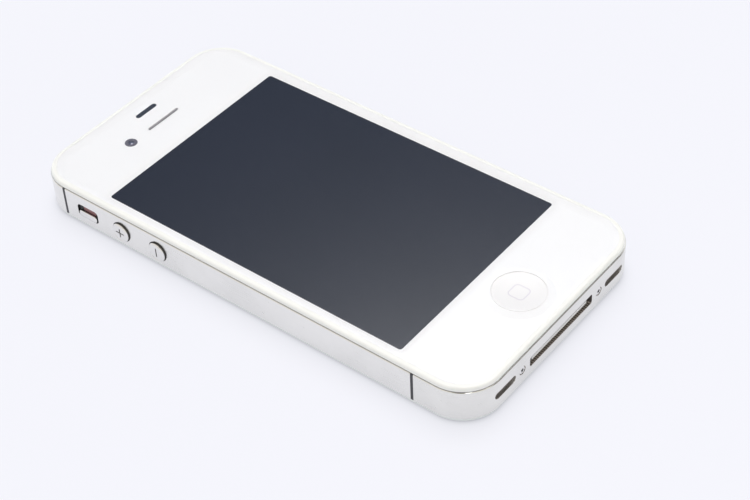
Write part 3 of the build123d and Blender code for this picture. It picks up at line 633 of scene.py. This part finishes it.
# One finish for each material slot of the CAD.
paint = {
    "band_steel": metal("band_steel", (0.835, 0.83, 0.81, 1), 0.22, brushed=0.2),
    "key_steel": metal("key_steel", (0.82, 0.815, 0.80, 1), 0.14, brushed=0.05, worn=0.4),
    "sheet_steel": metal("sheet_steel", (0.62, 0.61, 0.61, 1), 0.38, brushed=0.15, scratches=0.3),
    "gold_contact": metal("gold_contact", (0.86, 0.66, 0.30, 1), 0.25, scratches=0.3),
    "weight_metal": metal("weight_metal", (0.36, 0.36, 0.38, 1), 0.5, scratches=0.1),
    "slit_plastic": plastic("slit_plastic", srgb(58, 58, 63), 0.5),
    "bezel_plastic": plastic("bezel_plastic", srgb(238, 240, 238), 0.4, vary=0.015, texture=0.008),
    "home_plastic": plastic(
        "home_plastic", srgb(233, 234, 237), 0.35, vary=0.01, texture=0.003, coat=0.05
    ),
    "white_plastic": plastic("white_plastic", srgb(232, 232, 230), 0.3, vary=0.02),
    "black_plastic": plastic("black_plastic", srgb(30, 30, 33), 0.45, vary=0.1),
    "gasket_rubber": plastic("gasket_rubber", srgb(236, 236, 232), 0.6, vary=0.03, texture=0.05),
    # painted shade: the mute mark's orange is dulled and darkened, standing for the shade in its recess behind the
    # slot
    "orange_paint": plastic("orange_paint", srgb(138, 98, 99), 0.5, vary=0.08),
    "sim_plastic": plastic("sim_plastic", srgb(240, 240, 236), 0.4, vary=0.02),
    "white_glass": white_glass(),
    "dark_glass": dark_glass(),
    "camera_glass": camera_glass(),
    "flash_plastic": flash_plastic(),
    "board_laminate": board_laminate(),
    "battery_foil": battery_foil(),
    "flex_film": flex_film(),
    "mesh_metal": mesh_metal("mesh_metal", srgb(52, 47, 45), srgb(150, 143, 140)),
}
# More finishes, for parts of the pieces built here.
clear = clear_glass()
ear_mesh = mesh_metal("ear_mesh", srgb(100, 96, 98), srgb(176, 172, 174))
lens_grey = plastic("lens_grey", srgb(84, 80, 94), 0.4)
engraved = metal("engraved_steel", (0.30, 0.295, 0.285, 1), 0.4, scratches=0.1, worn=0.0)
# painted shade: near-black steel for hole walls, key sides and screw sockets, where shade falls
shade_dark_steel = metal("painted_shade_steel", (0.12, 0.118, 0.112, 1), 0.4, scratches=0.1, worn=0.0)
polished = metal("polished_steel", (0.80, 0.80, 0.77, 1), 0.07, scratches=0.05, worn=0.0)
glyph_ink = plastic("glyph_ink", srgb(219, 218, 227), 0.4, vary=0.03)
seam_shade = plastic("seam_shade", srgb(68, 73, 80), 0.7, vary=0.1, worn=0.0)
# painted shade: a darker copy of the bezel's plastic, for the rear bezel down by the floor
shaded_rear_plastic = plastic("rear_bezel_painted_shade", srgb(224, 229, 228), 0.4, vary=0.015, texture=0.008)
# painted shade for the dock opening's walls and the screws' counterbores
shaded_throat = ribbed_throat()
# painted shade: a darker copy of the band's steel, for the bottom end
shaded_end_steel = metal("band_end_steel_shade", (0.805, 0.80, 0.775, 1), 0.22, brushed=0.2)


def dress(obj, slot, nodes, edge=0.0, materials=None, sharp=35, body="housing"):
    """Finishes a new piece: shading, materials, the body it rides on and the nodes it replaces."""
    smooth(obj, edge, sharp)
    coats = materials or [paint[slot]]
    for k, material in enumerate(coats):
        obj.data.materials[k] = material
    while len(obj.data.materials) > len(coats):
        obj.data.materials.pop(index=len(obj.data.materials) - 1)
    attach(obj, body)
    if nodes:
        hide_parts(*nodes)


# ======== Steel band ========

band_section = [
    (band_chamfer, band_low),
    (0, band_low + band_chamfer),
    (0, band_high - band_chamfer),
    (band_chamfer, band_high),
    (wall, band_high),
    (wall, band_low),
]
band_paints = [1, 0, 1, 0, 0, 0]
# index 2, the near-black steel, paints shade on the walls of the holes cut with it
band_materials = [paint["band_steel"], polished, shade_dark_steel]
outside_x = half_width + 1
outside_y = half_length + 1
inside_x = inner_x - 1
inside_y = inner_y - 1
key_gap = 0.15
volume_radius = 2.25
mute_slot = (5.9, 3.1, 0.9)
power_size = (9.8, 2.3)
jack_nose = 2.6
jack_bore = 1.8
microphone_x = -12.4
microphone_radius = 0.4
dock_size = (21.6, 2.4, 0.5)
port_size = (meshes[1].x - meshes[0].x, meshes[1].z - meshes[0].z)
port_length = 6.6
port_x = port_size[0] / 2 - port_length / 2
screw_radius = 0.9
thread_radius = 0.6  # of the screws' holes in the band
counterbore_depth = 0.55
screw_x = screws[1].x - screw_radius
lever_low, lever_high = corners("mute_lever")
lever_travel = next(
    joint["range_m"][1] / MM for joint in frame["joints"] if joint["name"] == "mute_lever_slide"
)


def side_hole(outline, side, paint_index=0):
    """A tool that cuts right through the band on one side."""
    if side in ("left", "right"):
        return plug(outline, inside_x, outside_x, side, paint_index)
    return plug(outline, inside_y, outside_y, side, paint_index)


band_left = sweep("visual_band_left", side_run(-1), band_section, ends="cuts", paints=band_paints)
tools = []
for key in ("volume_up_button", "volume_down_button"):
    place = middle(key)
    tools.append(side_hole(circle(volume_radius + key_gap, centre=(place.y, side_z)), "left", 2))
tools.append(side_hole(rounded(*mute_slot, centre=(mute.y, side_z)), "left", 2))
# the mute lever's plate slides in a pocket behind its slot
pocket = rounded(
    lever_high.y - lever_low.y + 2 * key_gap,
    lever_high.z - lever_low.z + lever_travel + 2 * key_gap,
    0.05,
    steps=1,
    centre=(mute.y, (lever_low.z + lever_high.z + lever_travel) / 2),
)
mute_wall = 0.35
tools.append(plug(pocket, inside_x, half_width - mute_wall, "left"))
combine(band_left, tools)
dress(band_left, "band_steel", ["band_left"], 0.04, band_materials)

band_right = sweep("visual_band_right", side_run(1), band_section, ends="cuts", paints=band_paints)
tray_low, tray_high = corners("sim_tray")
tray_opening = rounded(
    tray_high.y - tray_low.y + key_gap,
    tray_high.z - tray_low.z + key_gap,
    0.35,
    centre=(middle("sim_tray").y, side_z),
)
combine(band_right, [side_hole(tray_opening, "right")])
dress(band_right, "band_steel", ["band_right"], 0.04, band_materials)

band_top = sweep(
    "visual_band_top", end_run(1, top_low.y), band_section, ends="cuts", paints=band_paints
)
top_holes = [
    circle(jack_nose, centre=(jack.x, side_z)),
    circle(microphone_radius, 6, centre=(microphone_x, side_z)),
    stadium(power_size[0] + 2 * key_gap, power_size[1] + 2 * key_gap, centre=(power.x, side_z)),
]
combine(band_top, [side_hole(hole, "top") for hole in top_holes])
dress(band_top, "band_steel", ["band_top"], 0.04, band_materials)

band_bottom = sweep(
    "visual_band_bottom", end_run(-1, -bottom_high.y), band_section, ends="cuts", paints=band_paints
)
tools = [side_hole(rounded(*dock_size, centre=(0, side_z)), "bottom", 2)]
for x in (-port_x, port_x):
    tools.append(side_hole(stadium(port_length, port_size[1], centre=(x, side_z)), "bottom"))
for x in (-screw_x, screw_x):
    tools.append(side_hole(circle(thread_radius, 6, centre=(x, side_z)), "bottom"))
    counterbore = circle(screw_radius + 0.08, centre=(x, side_z))
    tools.append(plug(counterbore, half_length - counterbore_depth, outside_y, "bottom", 2))
combine(band_bottom, tools)
# the bottom end takes the darker copy of the steel, and the dock opening and counterbores the shaded wall finish:
# painted shade
dress(band_bottom, "band_steel", ["band_bottom"], 0.04, [shaded_end_steel, polished, shaded_throat])


# ======== Bezels ========

seam_depth = 0.25  # the shadow line between the band and the bezel
seam_height = 0.1
ledge_width = 1.2  # under the glass


def bezel(name, node, side, face, seam, ledge):
    """The plastic ring between the band and a glass; heights are measured out of that side."""
    inner = glass_inset - hair
    ledge_inner = glass_inset + ledge_width
    foot = bezel_inset + seam_depth
    section = [(foot, seam), (foot, seam + seam_height), (bezel_inset, seam + seam_height)]
    section += rounded_step(bezel_inset, face, bezel_round, 8)
    section += [(inner, face), (inner, ledge), (ledge_inner, ledge), (ledge_inner, seam)]
    seam_paint = 0 if node == "rear_bezel" else 1
    paints = [seam_paint] * 2 + [0] * (len(section) - 2)
    ring = sweep(name, phone, section, side, paints=paints)
    if node == "rear_bezel":
        add_lugs(ring)
    # the rear bezel takes the darker copy of the plastic: painted shade
    face_plastic = shaded_rear_plastic if node == "rear_bezel" else paint["bezel_plastic"]
    dress(ring, "bezel_plastic", [node], 0, [face_plastic, seam_shade], 40)


def add_lugs(ring):
    """Two lugs inside the bottom edge take the case screws."""
    width = 3.0
    height = rear_bezel_high.z - back_high.z
    length = 2.35
    low = inner_y - 0.05 - length
    lugs = []
    for x in (-screw_x, screw_x):
        outline = rounded(width, height, 0.2, 3, (x, back_high.z + height / 2))
        lug = plug(outline, low, low + length, "bottom")
        combine(lug, [plug(circle(0.56, 6, (x, side_z)), low - 1, low + 4, "bottom")])
        lugs.append(lug)
    combine(ring, lugs, "UNION")


bezel("visual_front_bezel", "front_bezel", "front", front_bezel_high.z, band_high, glass_low.z)
bezel("visual_rear_bezel", "rear_bezel", "back", -rear_bezel_low.z, -band_low, -back_high.z)


# ======== Front glass ========

home_hole_radius = 5.55
pill_size = (6.1, 1.25)
front_camera_radius = 1.4
home_hole = circle(home_hole_radius, 24, centre=(0, home_y))
ear = stadium(*ear_size, centre=(0, (ear_low.y + ear_high.y) / 2))
screen_outline = rounded(*screen_size, screen_corner, 4, centre=(0, screen_centre_y))
pill = stadium(*pill_size, centre=(0, sensor.y))
camera_spot = circle(front_camera_radius, centre=(front_camera.x, front_camera.y))


def through_front(outline):
    """A tool that cuts right through the front glass and its ink."""
    return plug(outline, 7, 11)


def glass_plate(low, high):
    """Steps of a cover glass, whose lower edge is sloped to make room for the ink's rim."""
    inner = glass_inset + rim_width + hair
    steps = [(inner + rim_slope, low), (inner, high - rim_depth), (glass_inset, high - rim_depth)]
    return steps + rounded_step(glass_inset, high, glass_edge, 5)


def ink_tray(low, high, ink):
    """Steps of the white ink behind a glass, which slopes up to a rim round the glass's edge."""
    rim = high - rim_depth - hair
    inner = glass_inset + rim_width
    return [(glass_inset, low), (glass_inset, rim), (inner, rim), (inner + rim_slope, ink)]


ink_top = glass_high.z - ink_depth
ink_gap = 2 * hair  # from the glass to the ink under it
lining = 0.08  # the white wall of the home key's hole, which widens like the rim
rim_height = glass_high.z - rim_depth
funnel = [(-lining - rim_slope, ink_top - 1), (-lining - rim_slope, ink_top - hair)]
funnel += [(-lining, rim_height), (-lining, glass_high.z + 1)]
cover = loft("front_cover_glass", phone, glass_plate(ink_top, glass_high.z))
combine(cover, [loft("funnel", home_hole, funnel), through_front(ear)])
dress(cover, "white_glass", ["front_glass"], 0.05, [clear])

mask = loft("front_white_mask", phone, ink_tray(glass_low.z, glass_high.z, ink_top - ink_gap))
openings = (home_hole, ear, screen_outline, pill, camera_spot)
combine(mask, [through_front(opening) for opening in openings])
dress(mask, "white_glass", [])

lining_top = glass_high.z - 0.03
lining_low = ink_top - 0.1
lining_section = [(0, lining_low), (0, lining_top), (hair - lining, lining_top)]
lining_section += [(hair - lining, rim_height), (ink_gap - lining - rim_slope, ink_top - ink_gap)]
lining_section += [(ink_gap - lining - rim_slope, lining_low)]
home_lining = sweep("home_hole_lining", home_hole, lining_section)
dress(home_lining, "white_glass", [])

ear_wires = plug(ear, ear_low.z, ear_high.z)
ear_wires.name = "earpiece_wires"
dress(ear_wires, "mesh_metal", ["earpiece_mesh"], materials=[ear_mesh])

dark_top = ink_top - 0.025
dark_steps = [(0.004, glass_low.z), (0.004, dark_top)]
screen = loft("screen", screen_outline, dark_steps)
dress(screen, "dark_glass", [])
window = loft("sensor_window", pill, dark_steps)
dress(window, "dark_glass", [])
lens_steps = dark_steps + [(0.72, dark_top), (0.78, ink_top - 0.12), (0.80, ink_top - 0.12)]
lens_steps += [(0.9, ink_top - 0.07), (1.1, ink_top - 0.03), (1.3, ink_top - 0.015)]
lens = loft("front_camera_lens", camera_spot, lens_steps, paints=[0, 0, 0, 0, 1, 1, 1, 1])
dress(lens, "camera_glass", [], materials=[lens_grey, paint["camera_glass"]])


# ======== Back glass, camera and flash ========

camera_hole_radius = 3.3
flash_hole_radius = 1.5
camera_hole = circle(camera_hole_radius, 20, centre=(rear_camera.x, rear_camera.y))
flash_hole = circle(flash_hole_radius, 16, centre=(flash.x, flash.y))


def back_holes():
    """Tools that cut the camera's and the flash's holes through the back."""
    return [plug(camera_hole, -2, 1, "back"), plug(flash_hole, -2, 1, "back")]


rear_cover = loft("rear_cover_glass", phone, glass_plate(-ink_depth, -back_low.z), "back")
combine(rear_cover, back_holes())
dress(rear_cover, "white_glass", ["rear_glass"], 0.05, [clear])
rear_tray = ink_tray(-back_high.z, -back_low.z, -ink_depth - ink_gap)
rear_mask = loft("rear_white_mask", phone, rear_tray, "back")
combine(rear_mask, back_holes())
dress(rear_mask, "white_glass", [])

ring_low, ring_high = corners("camera_ring")
ring_face = -ring_low.z
ring_width = 0.7
ring_section = [(0, -ring_high.z)] + rounded_step(0, ring_face, 0.06, 3)
ring_section += [(0.45, ring_face), (0.52, ring_face - 0.02)]
ring_section += [(ring_width, ring_face - 0.22), (ring_width, -ring_high.z)]
ring = sweep("camera_trim_ring", camera_hole, ring_section, "back")
dress(ring, "key_steel", ["camera_ring"], sharp=30)
window_low, window_high = corners("camera_window")
pane_steps = [(ring_width + hair, -window_high.z), (ring_width + hair, -window_low.z)]
pane = loft("camera_pane", camera_hole, pane_steps, "back")
dress(pane, "camera_glass", ["camera_window"], 0.03, [clear])

barrel_low, barrel_high = corners("focus_barrel")
barrel_face = -barrel_low.z
barrel_radius = 2.9
lens_inset = 1.8
barrel_outline = circle(barrel_radius, 20, centre=(rear_camera.x, rear_camera.y))
barrel_steps = [(0, -barrel_high.z), (0, barrel_face - 0.1), (0.1, barrel_face)]
barrel_steps += [(0.8, barrel_face)]
for k in range(5):  # the cone down to the lens is cut in fine steps against stray light
    inset = 0.9 + 0.16 * k
    barrel_steps += [(inset, barrel_face - 0.1 * k), (inset, barrel_face - 0.1 * (k + 1))]
barrel_steps += [(lens_inset, barrel_face - 0.5), (lens_inset, barrel_face - 0.8)]
barrel = loft("camera_barrel", barrel_outline, barrel_steps, "back")
dress(barrel, "black_plastic", ["focus_barrel"], sharp=30, body="focus_barrel")
element_steps = [(lens_inset, barrel_face - 0.79)]
element_steps += rounded_step(lens_inset, barrel_face - 0.35, 0.4, 8)[:-1]
element_steps += [(barrel_radius - 0.05, barrel_face - 0.3)]
element = loft("camera_element", barrel_outline, element_steps, "back")
dress(element, "camera_glass", [], body="focus_barrel")

flash_low, flash_high = corners("flash_window")
flash_steps = [(0, -flash_high.z)] + rounded_step(0, -flash_low.z, 0.1, 4)
for k in range(5):  # the ribs of a stepped lens
    flash_steps += [(0.3 + 0.22 * k, -flash_low.z), (0.34 + 0.22 * k, -flash_low.z - 0.05)]
lens = loft("flash_lens", flash_hole, flash_steps, "back")
dress(lens, "flash_plastic", ["flash_window"], sharp=25)


# ======== Home key ========

cap_low, cap_high = corners("home_button")
cap_radius = 5.53
flange_radius = 6.1
cap_flange = flange_radius - cap_radius
stem_radius = 1.5
flange_thickness = 0.35
cap_outline = circle(cap_radius, 24, centre=(0, home_y))
dish_radius = cap_radius - 0.3
dish_depth = 0.35
dish_sphere = (dish_radius**2 + dish_depth**2) / (2 * dish_depth)


def dish_height(radius):
    """Height of the dished face at this distance from the key's centre."""
    return cap_high.z - dish_depth + dish_sphere - math.sqrt(dish_sphere**2 - radius**2)


flange_top = glass_low.z - 0.05
flange_foot = flange_top - flange_thickness
home_steps = [(cap_radius - stem_radius, cap_low.z), (cap_radius - stem_radius, flange_foot)]
home_steps += [(-cap_flange, flange_foot), (-cap_flange, flange_top), (0, flange_top)]
home_steps += rounded_step(0, cap_high.z, 0.06, 5)
dish_rings = 18
for k in range(dish_rings):
    radius = dish_radius * (1 - k / dish_rings)
    home_steps.append((cap_radius - radius, dish_height(radius)))
home = loft("home_key", cap_outline, home_steps)
dress(home, "home_plastic", ["home_button"], sharp=50, body="home_button")

glyph_size = 3.8
glyph_line = 0.25
glyph_height = 0.012
glyph_outline = rounded(glyph_size, glyph_size, 1.0, 8, (0, home_y))
glyph_section = [(0, 0), (0, glyph_height), (glyph_line, glyph_height), (glyph_line, 0)]
glyph = sweep("home_key_mark", glyph_outline, glyph_section)
for vertex in glyph.data.vertices:
    x, y, _ = vertex.co / MM
    vertex.co.z += dish_height(math.hypot(x, y - home_y)) * MM
dress(glyph, "home_plastic", [], materials=[glyph_ink], body="home_button")


# ======== Keys on the edge ========

mark_size = (2.3, 0.3)
mark_depth = 0.2
flange_gap = 0.05  # between a key's flange and the inside of the band
key_flange = 0.45


def volume_key(name, node, crossed):
    """A round key with a rounded rim, a sunk bar or cross, a flange and a stem."""
    low, high = corners(node)
    y = middle(node).y
    face = -low.x
    flange = (high.y - low.y) / 2 - volume_radius
    flange_face = inner_x - flange_gap
    inset = volume_radius - 0.8
    steps = [(inset, -high.x), (inset, flange_face - key_flange)]
    steps += [(-flange, flange_face - key_flange), (-flange, flange_face), (0, flange_face)]
    # the stem, flange and side wall take the near-black steel: painted shade in the gap round the key
    paints = [1] * len(steps)
    steps += [(0, face - 0.2), (0.18, face - 0.02), (0.2, face)]
    steps += [(0.34, face), (0.37, face - 0.05), (0.42, face - 0.05), (0.46, face - 0.02)]
    steps += [(0.9, face - 0.035), (1.6, face - 0.045)]
    paints += [0] * (len(steps) - len(paints))
    key = loft(name, circle(volume_radius, 16, (y, side_z)), steps, "left", paints)
    length, width = mark_size
    marks = [rounded(width, length, width / 2, 6, (y, side_z))]
    if crossed:
        marks.append(rounded(length, width, width / 2, 6, (y, side_z)))
    tools = [plug(mark, face - mark_depth, face + 1, "left", 2) for mark in marks]
    if crossed:
        combine(tools[0], tools[1:], "UNION")
    combine(key, tools[:1])
    coats = [paint["key_steel"], shade_dark_steel, engraved]
    dress(key, "key_steel", [node], 0.02, coats, 40, body=node)


volume_key("volume_up_key", "volume_up_button", crossed=True)
volume_key("volume_down_key", "volume_down_button", crossed=False)

power_low, power_high = corners("power_button")
flange_face = inner_y - flange_gap
power_steps = [(0, flange_face - 0.2)] + rounded_step(0, power_high.y, 0.35, 6)
power_steps += [(0.7, power_high.y)]
power_key = loft("power_key", stadium(*power_size, 12, (power.x, side_z)), power_steps, "top")
flange_outline = stadium(power_size[0] + 1, power_size[1] + 1, 12, (power.x, side_z))
power_flange = plug(flange_outline, flange_face - key_flange, flange_face, "top")
power_stem = plug(circle(0.8, 8, (power.x, side_z)), power_low.y, flange_face - 0.1, "top")
combine(power_key, [power_flange, power_stem], "UNION")
dress(power_key, "key_steel", ["power_button"], 0.03, sharp=40, body="power_button")

# The mute lever: a low cap on a plate that slides behind the wall, with paint above the cap.
flag_low, flag_high = corners("mute_flag")
cap_z = (side_z - mute_slot[1] / 2 + key_gap, flag_low.z)
mute_end_gap = 0.4
cap_length = mute_slot[0] - 2 * mute_end_gap
lever_cap = rounded(cap_length, cap_z[1] - cap_z[0], 0.6, 8, (mute.y, sum(cap_z) / 2))
plate_face = half_width - mute_wall - 0.05
plate_thickness = 0.45
recess_floor = plate_face - 0.15
lever_steps = [(0, plate_face - 0.2), (0, plate_face + 0.25)]
lever_steps += rounded_step(0, -lever_low.x, 0.14, 5)
lever_paints = [1] + [0] * (len(lever_steps) - 1)
lever = loft("mute_lever_cap", lever_cap, lever_steps, "left", lever_paints)
plate_outline = rounded(
    lever_high.y - lever_low.y,
    lever_high.z - lever_low.z,
    0.2,
    4,
    (mute.y, (lever_low.z + lever_high.z) / 2),
)
lever_plate = plug(plate_outline, plate_face - plate_thickness, plate_face, "left", 1)
flag_middle = (middle("mute_flag").y, middle("mute_flag").z)
recess = rounded(flag_high.y - flag_low.y, flag_high.z - flag_low.z, 0.05, 2, flag_middle)
combine(lever_plate, [plug(recess, recess_floor, plate_face + 1, "left", 1)])
tab_outline = rounded(1.0, 0.9, 0.05, 2, (mute.y, cap_z[0] + 0.45))
lever_tab = plug(tab_outline, -lever_high.x, plate_face - 0.4, "left", 1)
combine(lever, [lever_plate, lever_tab], "UNION")
# the plate is black plastic, and its black also stands for the shade in the slot: painted shade
coats = [paint["key_steel"], paint["black_plastic"]]
dress(lever, "key_steel", ["mute_lever"], 0.02, coats, 40, body="mute_lever")
flag = plug(recess, recess_floor, plate_face - 0.01, "left")
flag.name = "mute_flag_paint"
dress(flag, "orange_paint", ["mute_flag"], body="mute_lever")


# ======== Bottom screws and headphone socket ========


def case_screw(name, x):
    """A case screw with a five-lobed socket."""
    head = -screws[0].y
    inset = screw_radius - 0.55
    steps = [(inset, head - 3.32), (inset, head - 0.47), (0, head - 0.47)]
    steps += rounded_step(0, head, 0.12, 4)
    screw = loft(name, circle(screw_radius, 14, (x, side_z)), steps, "bottom")
    lobes = [circle(0.3, 5, (x, side_z))]
    for k in range(5):
        turn = math.tau * k / 5
        centre = (x + 0.33 * math.cos(turn), side_z + 0.33 * math.sin(turn))
        lobes.append(circle(0.14, 4, centre))
    # the socket's lobes take the near-black steel: painted shade
    combine(screw, [plug(lobe, head - 0.35, head + 1, "bottom", 1) for lobe in lobes])
    return screw


screw_pair = [case_screw("case_screw_left", -screw_x), case_screw("case_screw_right", screw_x)]
for screw in screw_pair:
    dress(screw, "key_steel", ["bottom_screws"], 0.02, [paint["key_steel"], shade_dark_steel])

jack_low, jack_high = corners("headphone_jack")
jack_side = 5.0
bore_length = 14.3
jack_centre = (jack.x, side_z)
socket_outline = rounded(jack_side, jack_side, 0.8, 5, jack_centre)
socket = plug(socket_outline, jack_low.y, inner_y - 0.05, "top")
socket.name = "headphone_socket"
nose_steps = [(0, inner_y - 0.5)] + rounded_step(0, jack_high.y, 0.12, 4)
nose = loft("nose", circle(jack_nose - 0.02, 20, jack_centre), nose_steps, "top")
combine(socket, [nose], "UNION")
bore_steps = [(0, jack_high.y - bore_length), (0, jack_high.y - 0.35)]
bore_steps += [(-0.25, jack_high.y), (-0.25, jack_high.y + 1)]
cutters = [loft("bore", circle(jack_bore, 20, jack_centre), bore_steps, "top")]
# three pairs of side pockets hold the contact springs
contact_low = corners("jack_contacts")[0]
contact_spacing = 3.2
pocket_length = 2.2
pocket_width = jack_side / 2 - jack_bore - 0.3
for row in range(3):
    y = contact_low.y - 0.1 + contact_spacing * row
    for side in (-1, 1):
        u = jack.x + side * (jack_side / 2 - pocket_width / 2 + 0.5)
        pocket = rounded(pocket_width + 1, 1.2, 0.05, 1, (u, side_z))
        cutters.append(plug(pocket, y, y + pocket_length, "top"))
combine(socket, cutters)
dress(socket, "white_plastic", ["headphone_jack"], sharp=40)


# ======== Dock tongue ========

tongue_low, tongue_high = corners("dock_tongue")
tongue_outline = rounded(
    tongue_high.x - tongue_low.x,
    tongue_high.z - tongue_low.z,
    0.12,
    3,
    (0, middle("dock_tongue").z),
)
tongue_steps = [(0, -tongue_high.y), (0, -tongue_low.y - 0.06), (0.06, -tongue_low.y)]
# the tongue's sides and the edge round its front take seam_shade: painted shade in the opening
tongue = loft("dock_tongue_piece", tongue_outline, tongue_steps, "bottom", [1, 1, 0])
coats = [paint["white_plastic"], seam_shade]
dress(tongue, "white_plastic", ["dock_tongue"], materials=coats)


# ======== CAD nodes that stay as they are ========

slot_of = {part["node"]: part["material_slot"] for part in frame["record"]["subparts"]}
for node, obj in frame["nodes"].items():
    obj.data.materials.clear()
    obj.data.materials.append(paint[slot_of[node]])


# ======== Stage ========

paper = Finish("floor_paper")
fibres = paper.noise(1800, detail=4)
tone = paper.spread(3, 2)
floor_colour = paper.mix(tone, (0.155, 0.155, 0.165, 1), (0.17, 0.17, 0.18, 1))
# the paper's glow stands for light from all round, and fades near the phone's outline: a painted contact shadow
shade_depth = 0.16
shade_falloff = 1.6  # per millimetre away from the phone's outline
away = paper.outside(half_width, half_length, corner_radius)
fade = paper.math("POWER", math.e, paper.times(away, -shade_falloff))
glow = paper.math("SUBTRACT", 1.0, paper.times(fade, shade_depth))
floor_material = paper.principled(
    Base_Color=floor_colour,
    Roughness=0.75,
    Specular_IOR_Level=0.0,
    Emission_Color=(0.735, 0.743, 0.795, 1),
    Emission_Strength=paper.math("MAXIMUM", glow, 0.2),
    Normal=paper.bump(fibres, 0.02, 0.3),
)
floor_radius = 2500
floor_thickness = 4
floor = plug(circle(floor_radius, 24), -floor_thickness, 0)
floor.name = "floor"
floor.data.materials.clear()
floor.data.materials.append(floor_material)


def studio_sky():
    """A pale tent all round, warmer overhead, with one big soft lamp behind and to the right."""
    world = bpy.data.worlds.new("studio")
    scene.world = world
    world.use_nodes = True
    tree = world.node_tree
    tree.nodes.clear()

    def node(kind, inputs=None, **properties):
        return add_node(tree, kind, inputs, **properties)

    direction = node("TexCoord").outputs["Generated"]
    height = node("SeparateXYZ", {0: direction}).outputs["Z"]
    rise = node("MapRange", {0: height, 1: 0.0, 2: 0.8, 3: 0.0, 4: 1.0}).outputs[0]
    tent = node(
        "Mix", {0: rise, 6: (0.92, 0.91, 0.89, 1), 7: (0.86, 0.81, 0.75, 1)}, data_type="RGBA"
    ).outputs[2]

    def closeness(towards):
        """How near the direction is to another one, as a cosine."""
        inputs = {0: direction, 1: tuple(Vector(towards).normalized())}
        return node("VectorMath", inputs, operation="DOT_PRODUCT").outputs["Value"]

    def panel(tent, towards, outer, inner, colour):
        """Blends a soft round patch of another colour into the tent, between two cosines."""
        near = {0: closeness(towards), 1: outer, 2: inner, 3: 0.0, 4: 1.0}
        share = node("MapRange", near).outputs[0]
        return node("Mix", {0: share, 6: tent, 7: colour}, data_type="RGBA").outputs[2]

    # a cool dim patch far behind, which the screen mirrors, and a black card at the right corner
    tent = panel(tent, (0.57, 0.56, 0.60), 0.80, 0.94, (0.40, 0.47, 0.60, 1))
    tent = panel(tent, (0.57, -0.66, 0.46), 0.88, 0.95, (0.25, 0.25, 0.24, 1))
    # the dark camera and a small light beside it glint in the corner between them
    tent = panel(tent, (-0.55, -0.33, 0.76), 0.955, 0.975, (0.10, 0.10, 0.07, 1))
    tent = panel(tent, (-0.43, -0.52, 0.74), 0.992, 0.996, (4.0, 4.0, 4.0, 1))
    lamp_height = math.radians(62)
    lamp_turn = math.radians(32)
    lamp = Vector((math.cos(lamp_turn), math.sin(lamp_turn), math.tan(lamp_height))).normalized()
    # the lamp's glow grows steeply towards its centre, up to a limit
    glow = closeness(lamp)
    for operation, number in (("SUBTRACT", 0.951), ("MULTIPLY", 48.0)):
        glow = node("Math", {0: glow, 1: number}, operation=operation).outputs[0]
    glow = node("Math", {0: math.e, 1: glow}, operation="POWER").outputs[0]
    for operation, number in (("MULTIPLY", 1.4), ("MINIMUM", 5.0)):
        glow = node("Math", {0: glow, 1: number}, operation=operation).outputs[0]
    lamp_light = node("VectorMath", {0: (1.02, 1.0, 0.98), "Scale": glow}, operation="SCALE")
    total = node("VectorMath", {0: tent, 1: lamp_light.outputs[0]}, operation="ADD")
    background = node("Background", {"Color": total.outputs[0], "Strength": 1.0})
    node("OutputWorld", {"Surface": background.outputs[0]})


studio_sky()
scene.view_settings.view_transform = "Standard"

camera_data = bpy.data.cameras.new("camera")
camera_data.lens = 83.5
camera_data.sensor_width = 36
camera_data.clip_start = 0.01
camera = bpy.data.objects.new("camera", camera_data)
scene.collection.objects.link(camera)
camera_place = Vector((-204.35, -182.11, 243.72)) * MM
camera_target = Vector((-3.16, -14.34, 4.65)) * MM
camera_roll = math.radians(-2.85)
aim = (camera_target - camera_place).to_track_quat("-Z", "Y").to_matrix()
camera.matrix_world = Matrix.Translation(camera_place) @ (
    aim @ Matrix.Rotation(camera_roll, 3, "Z")
).to_4x4()
scene.camera = camera
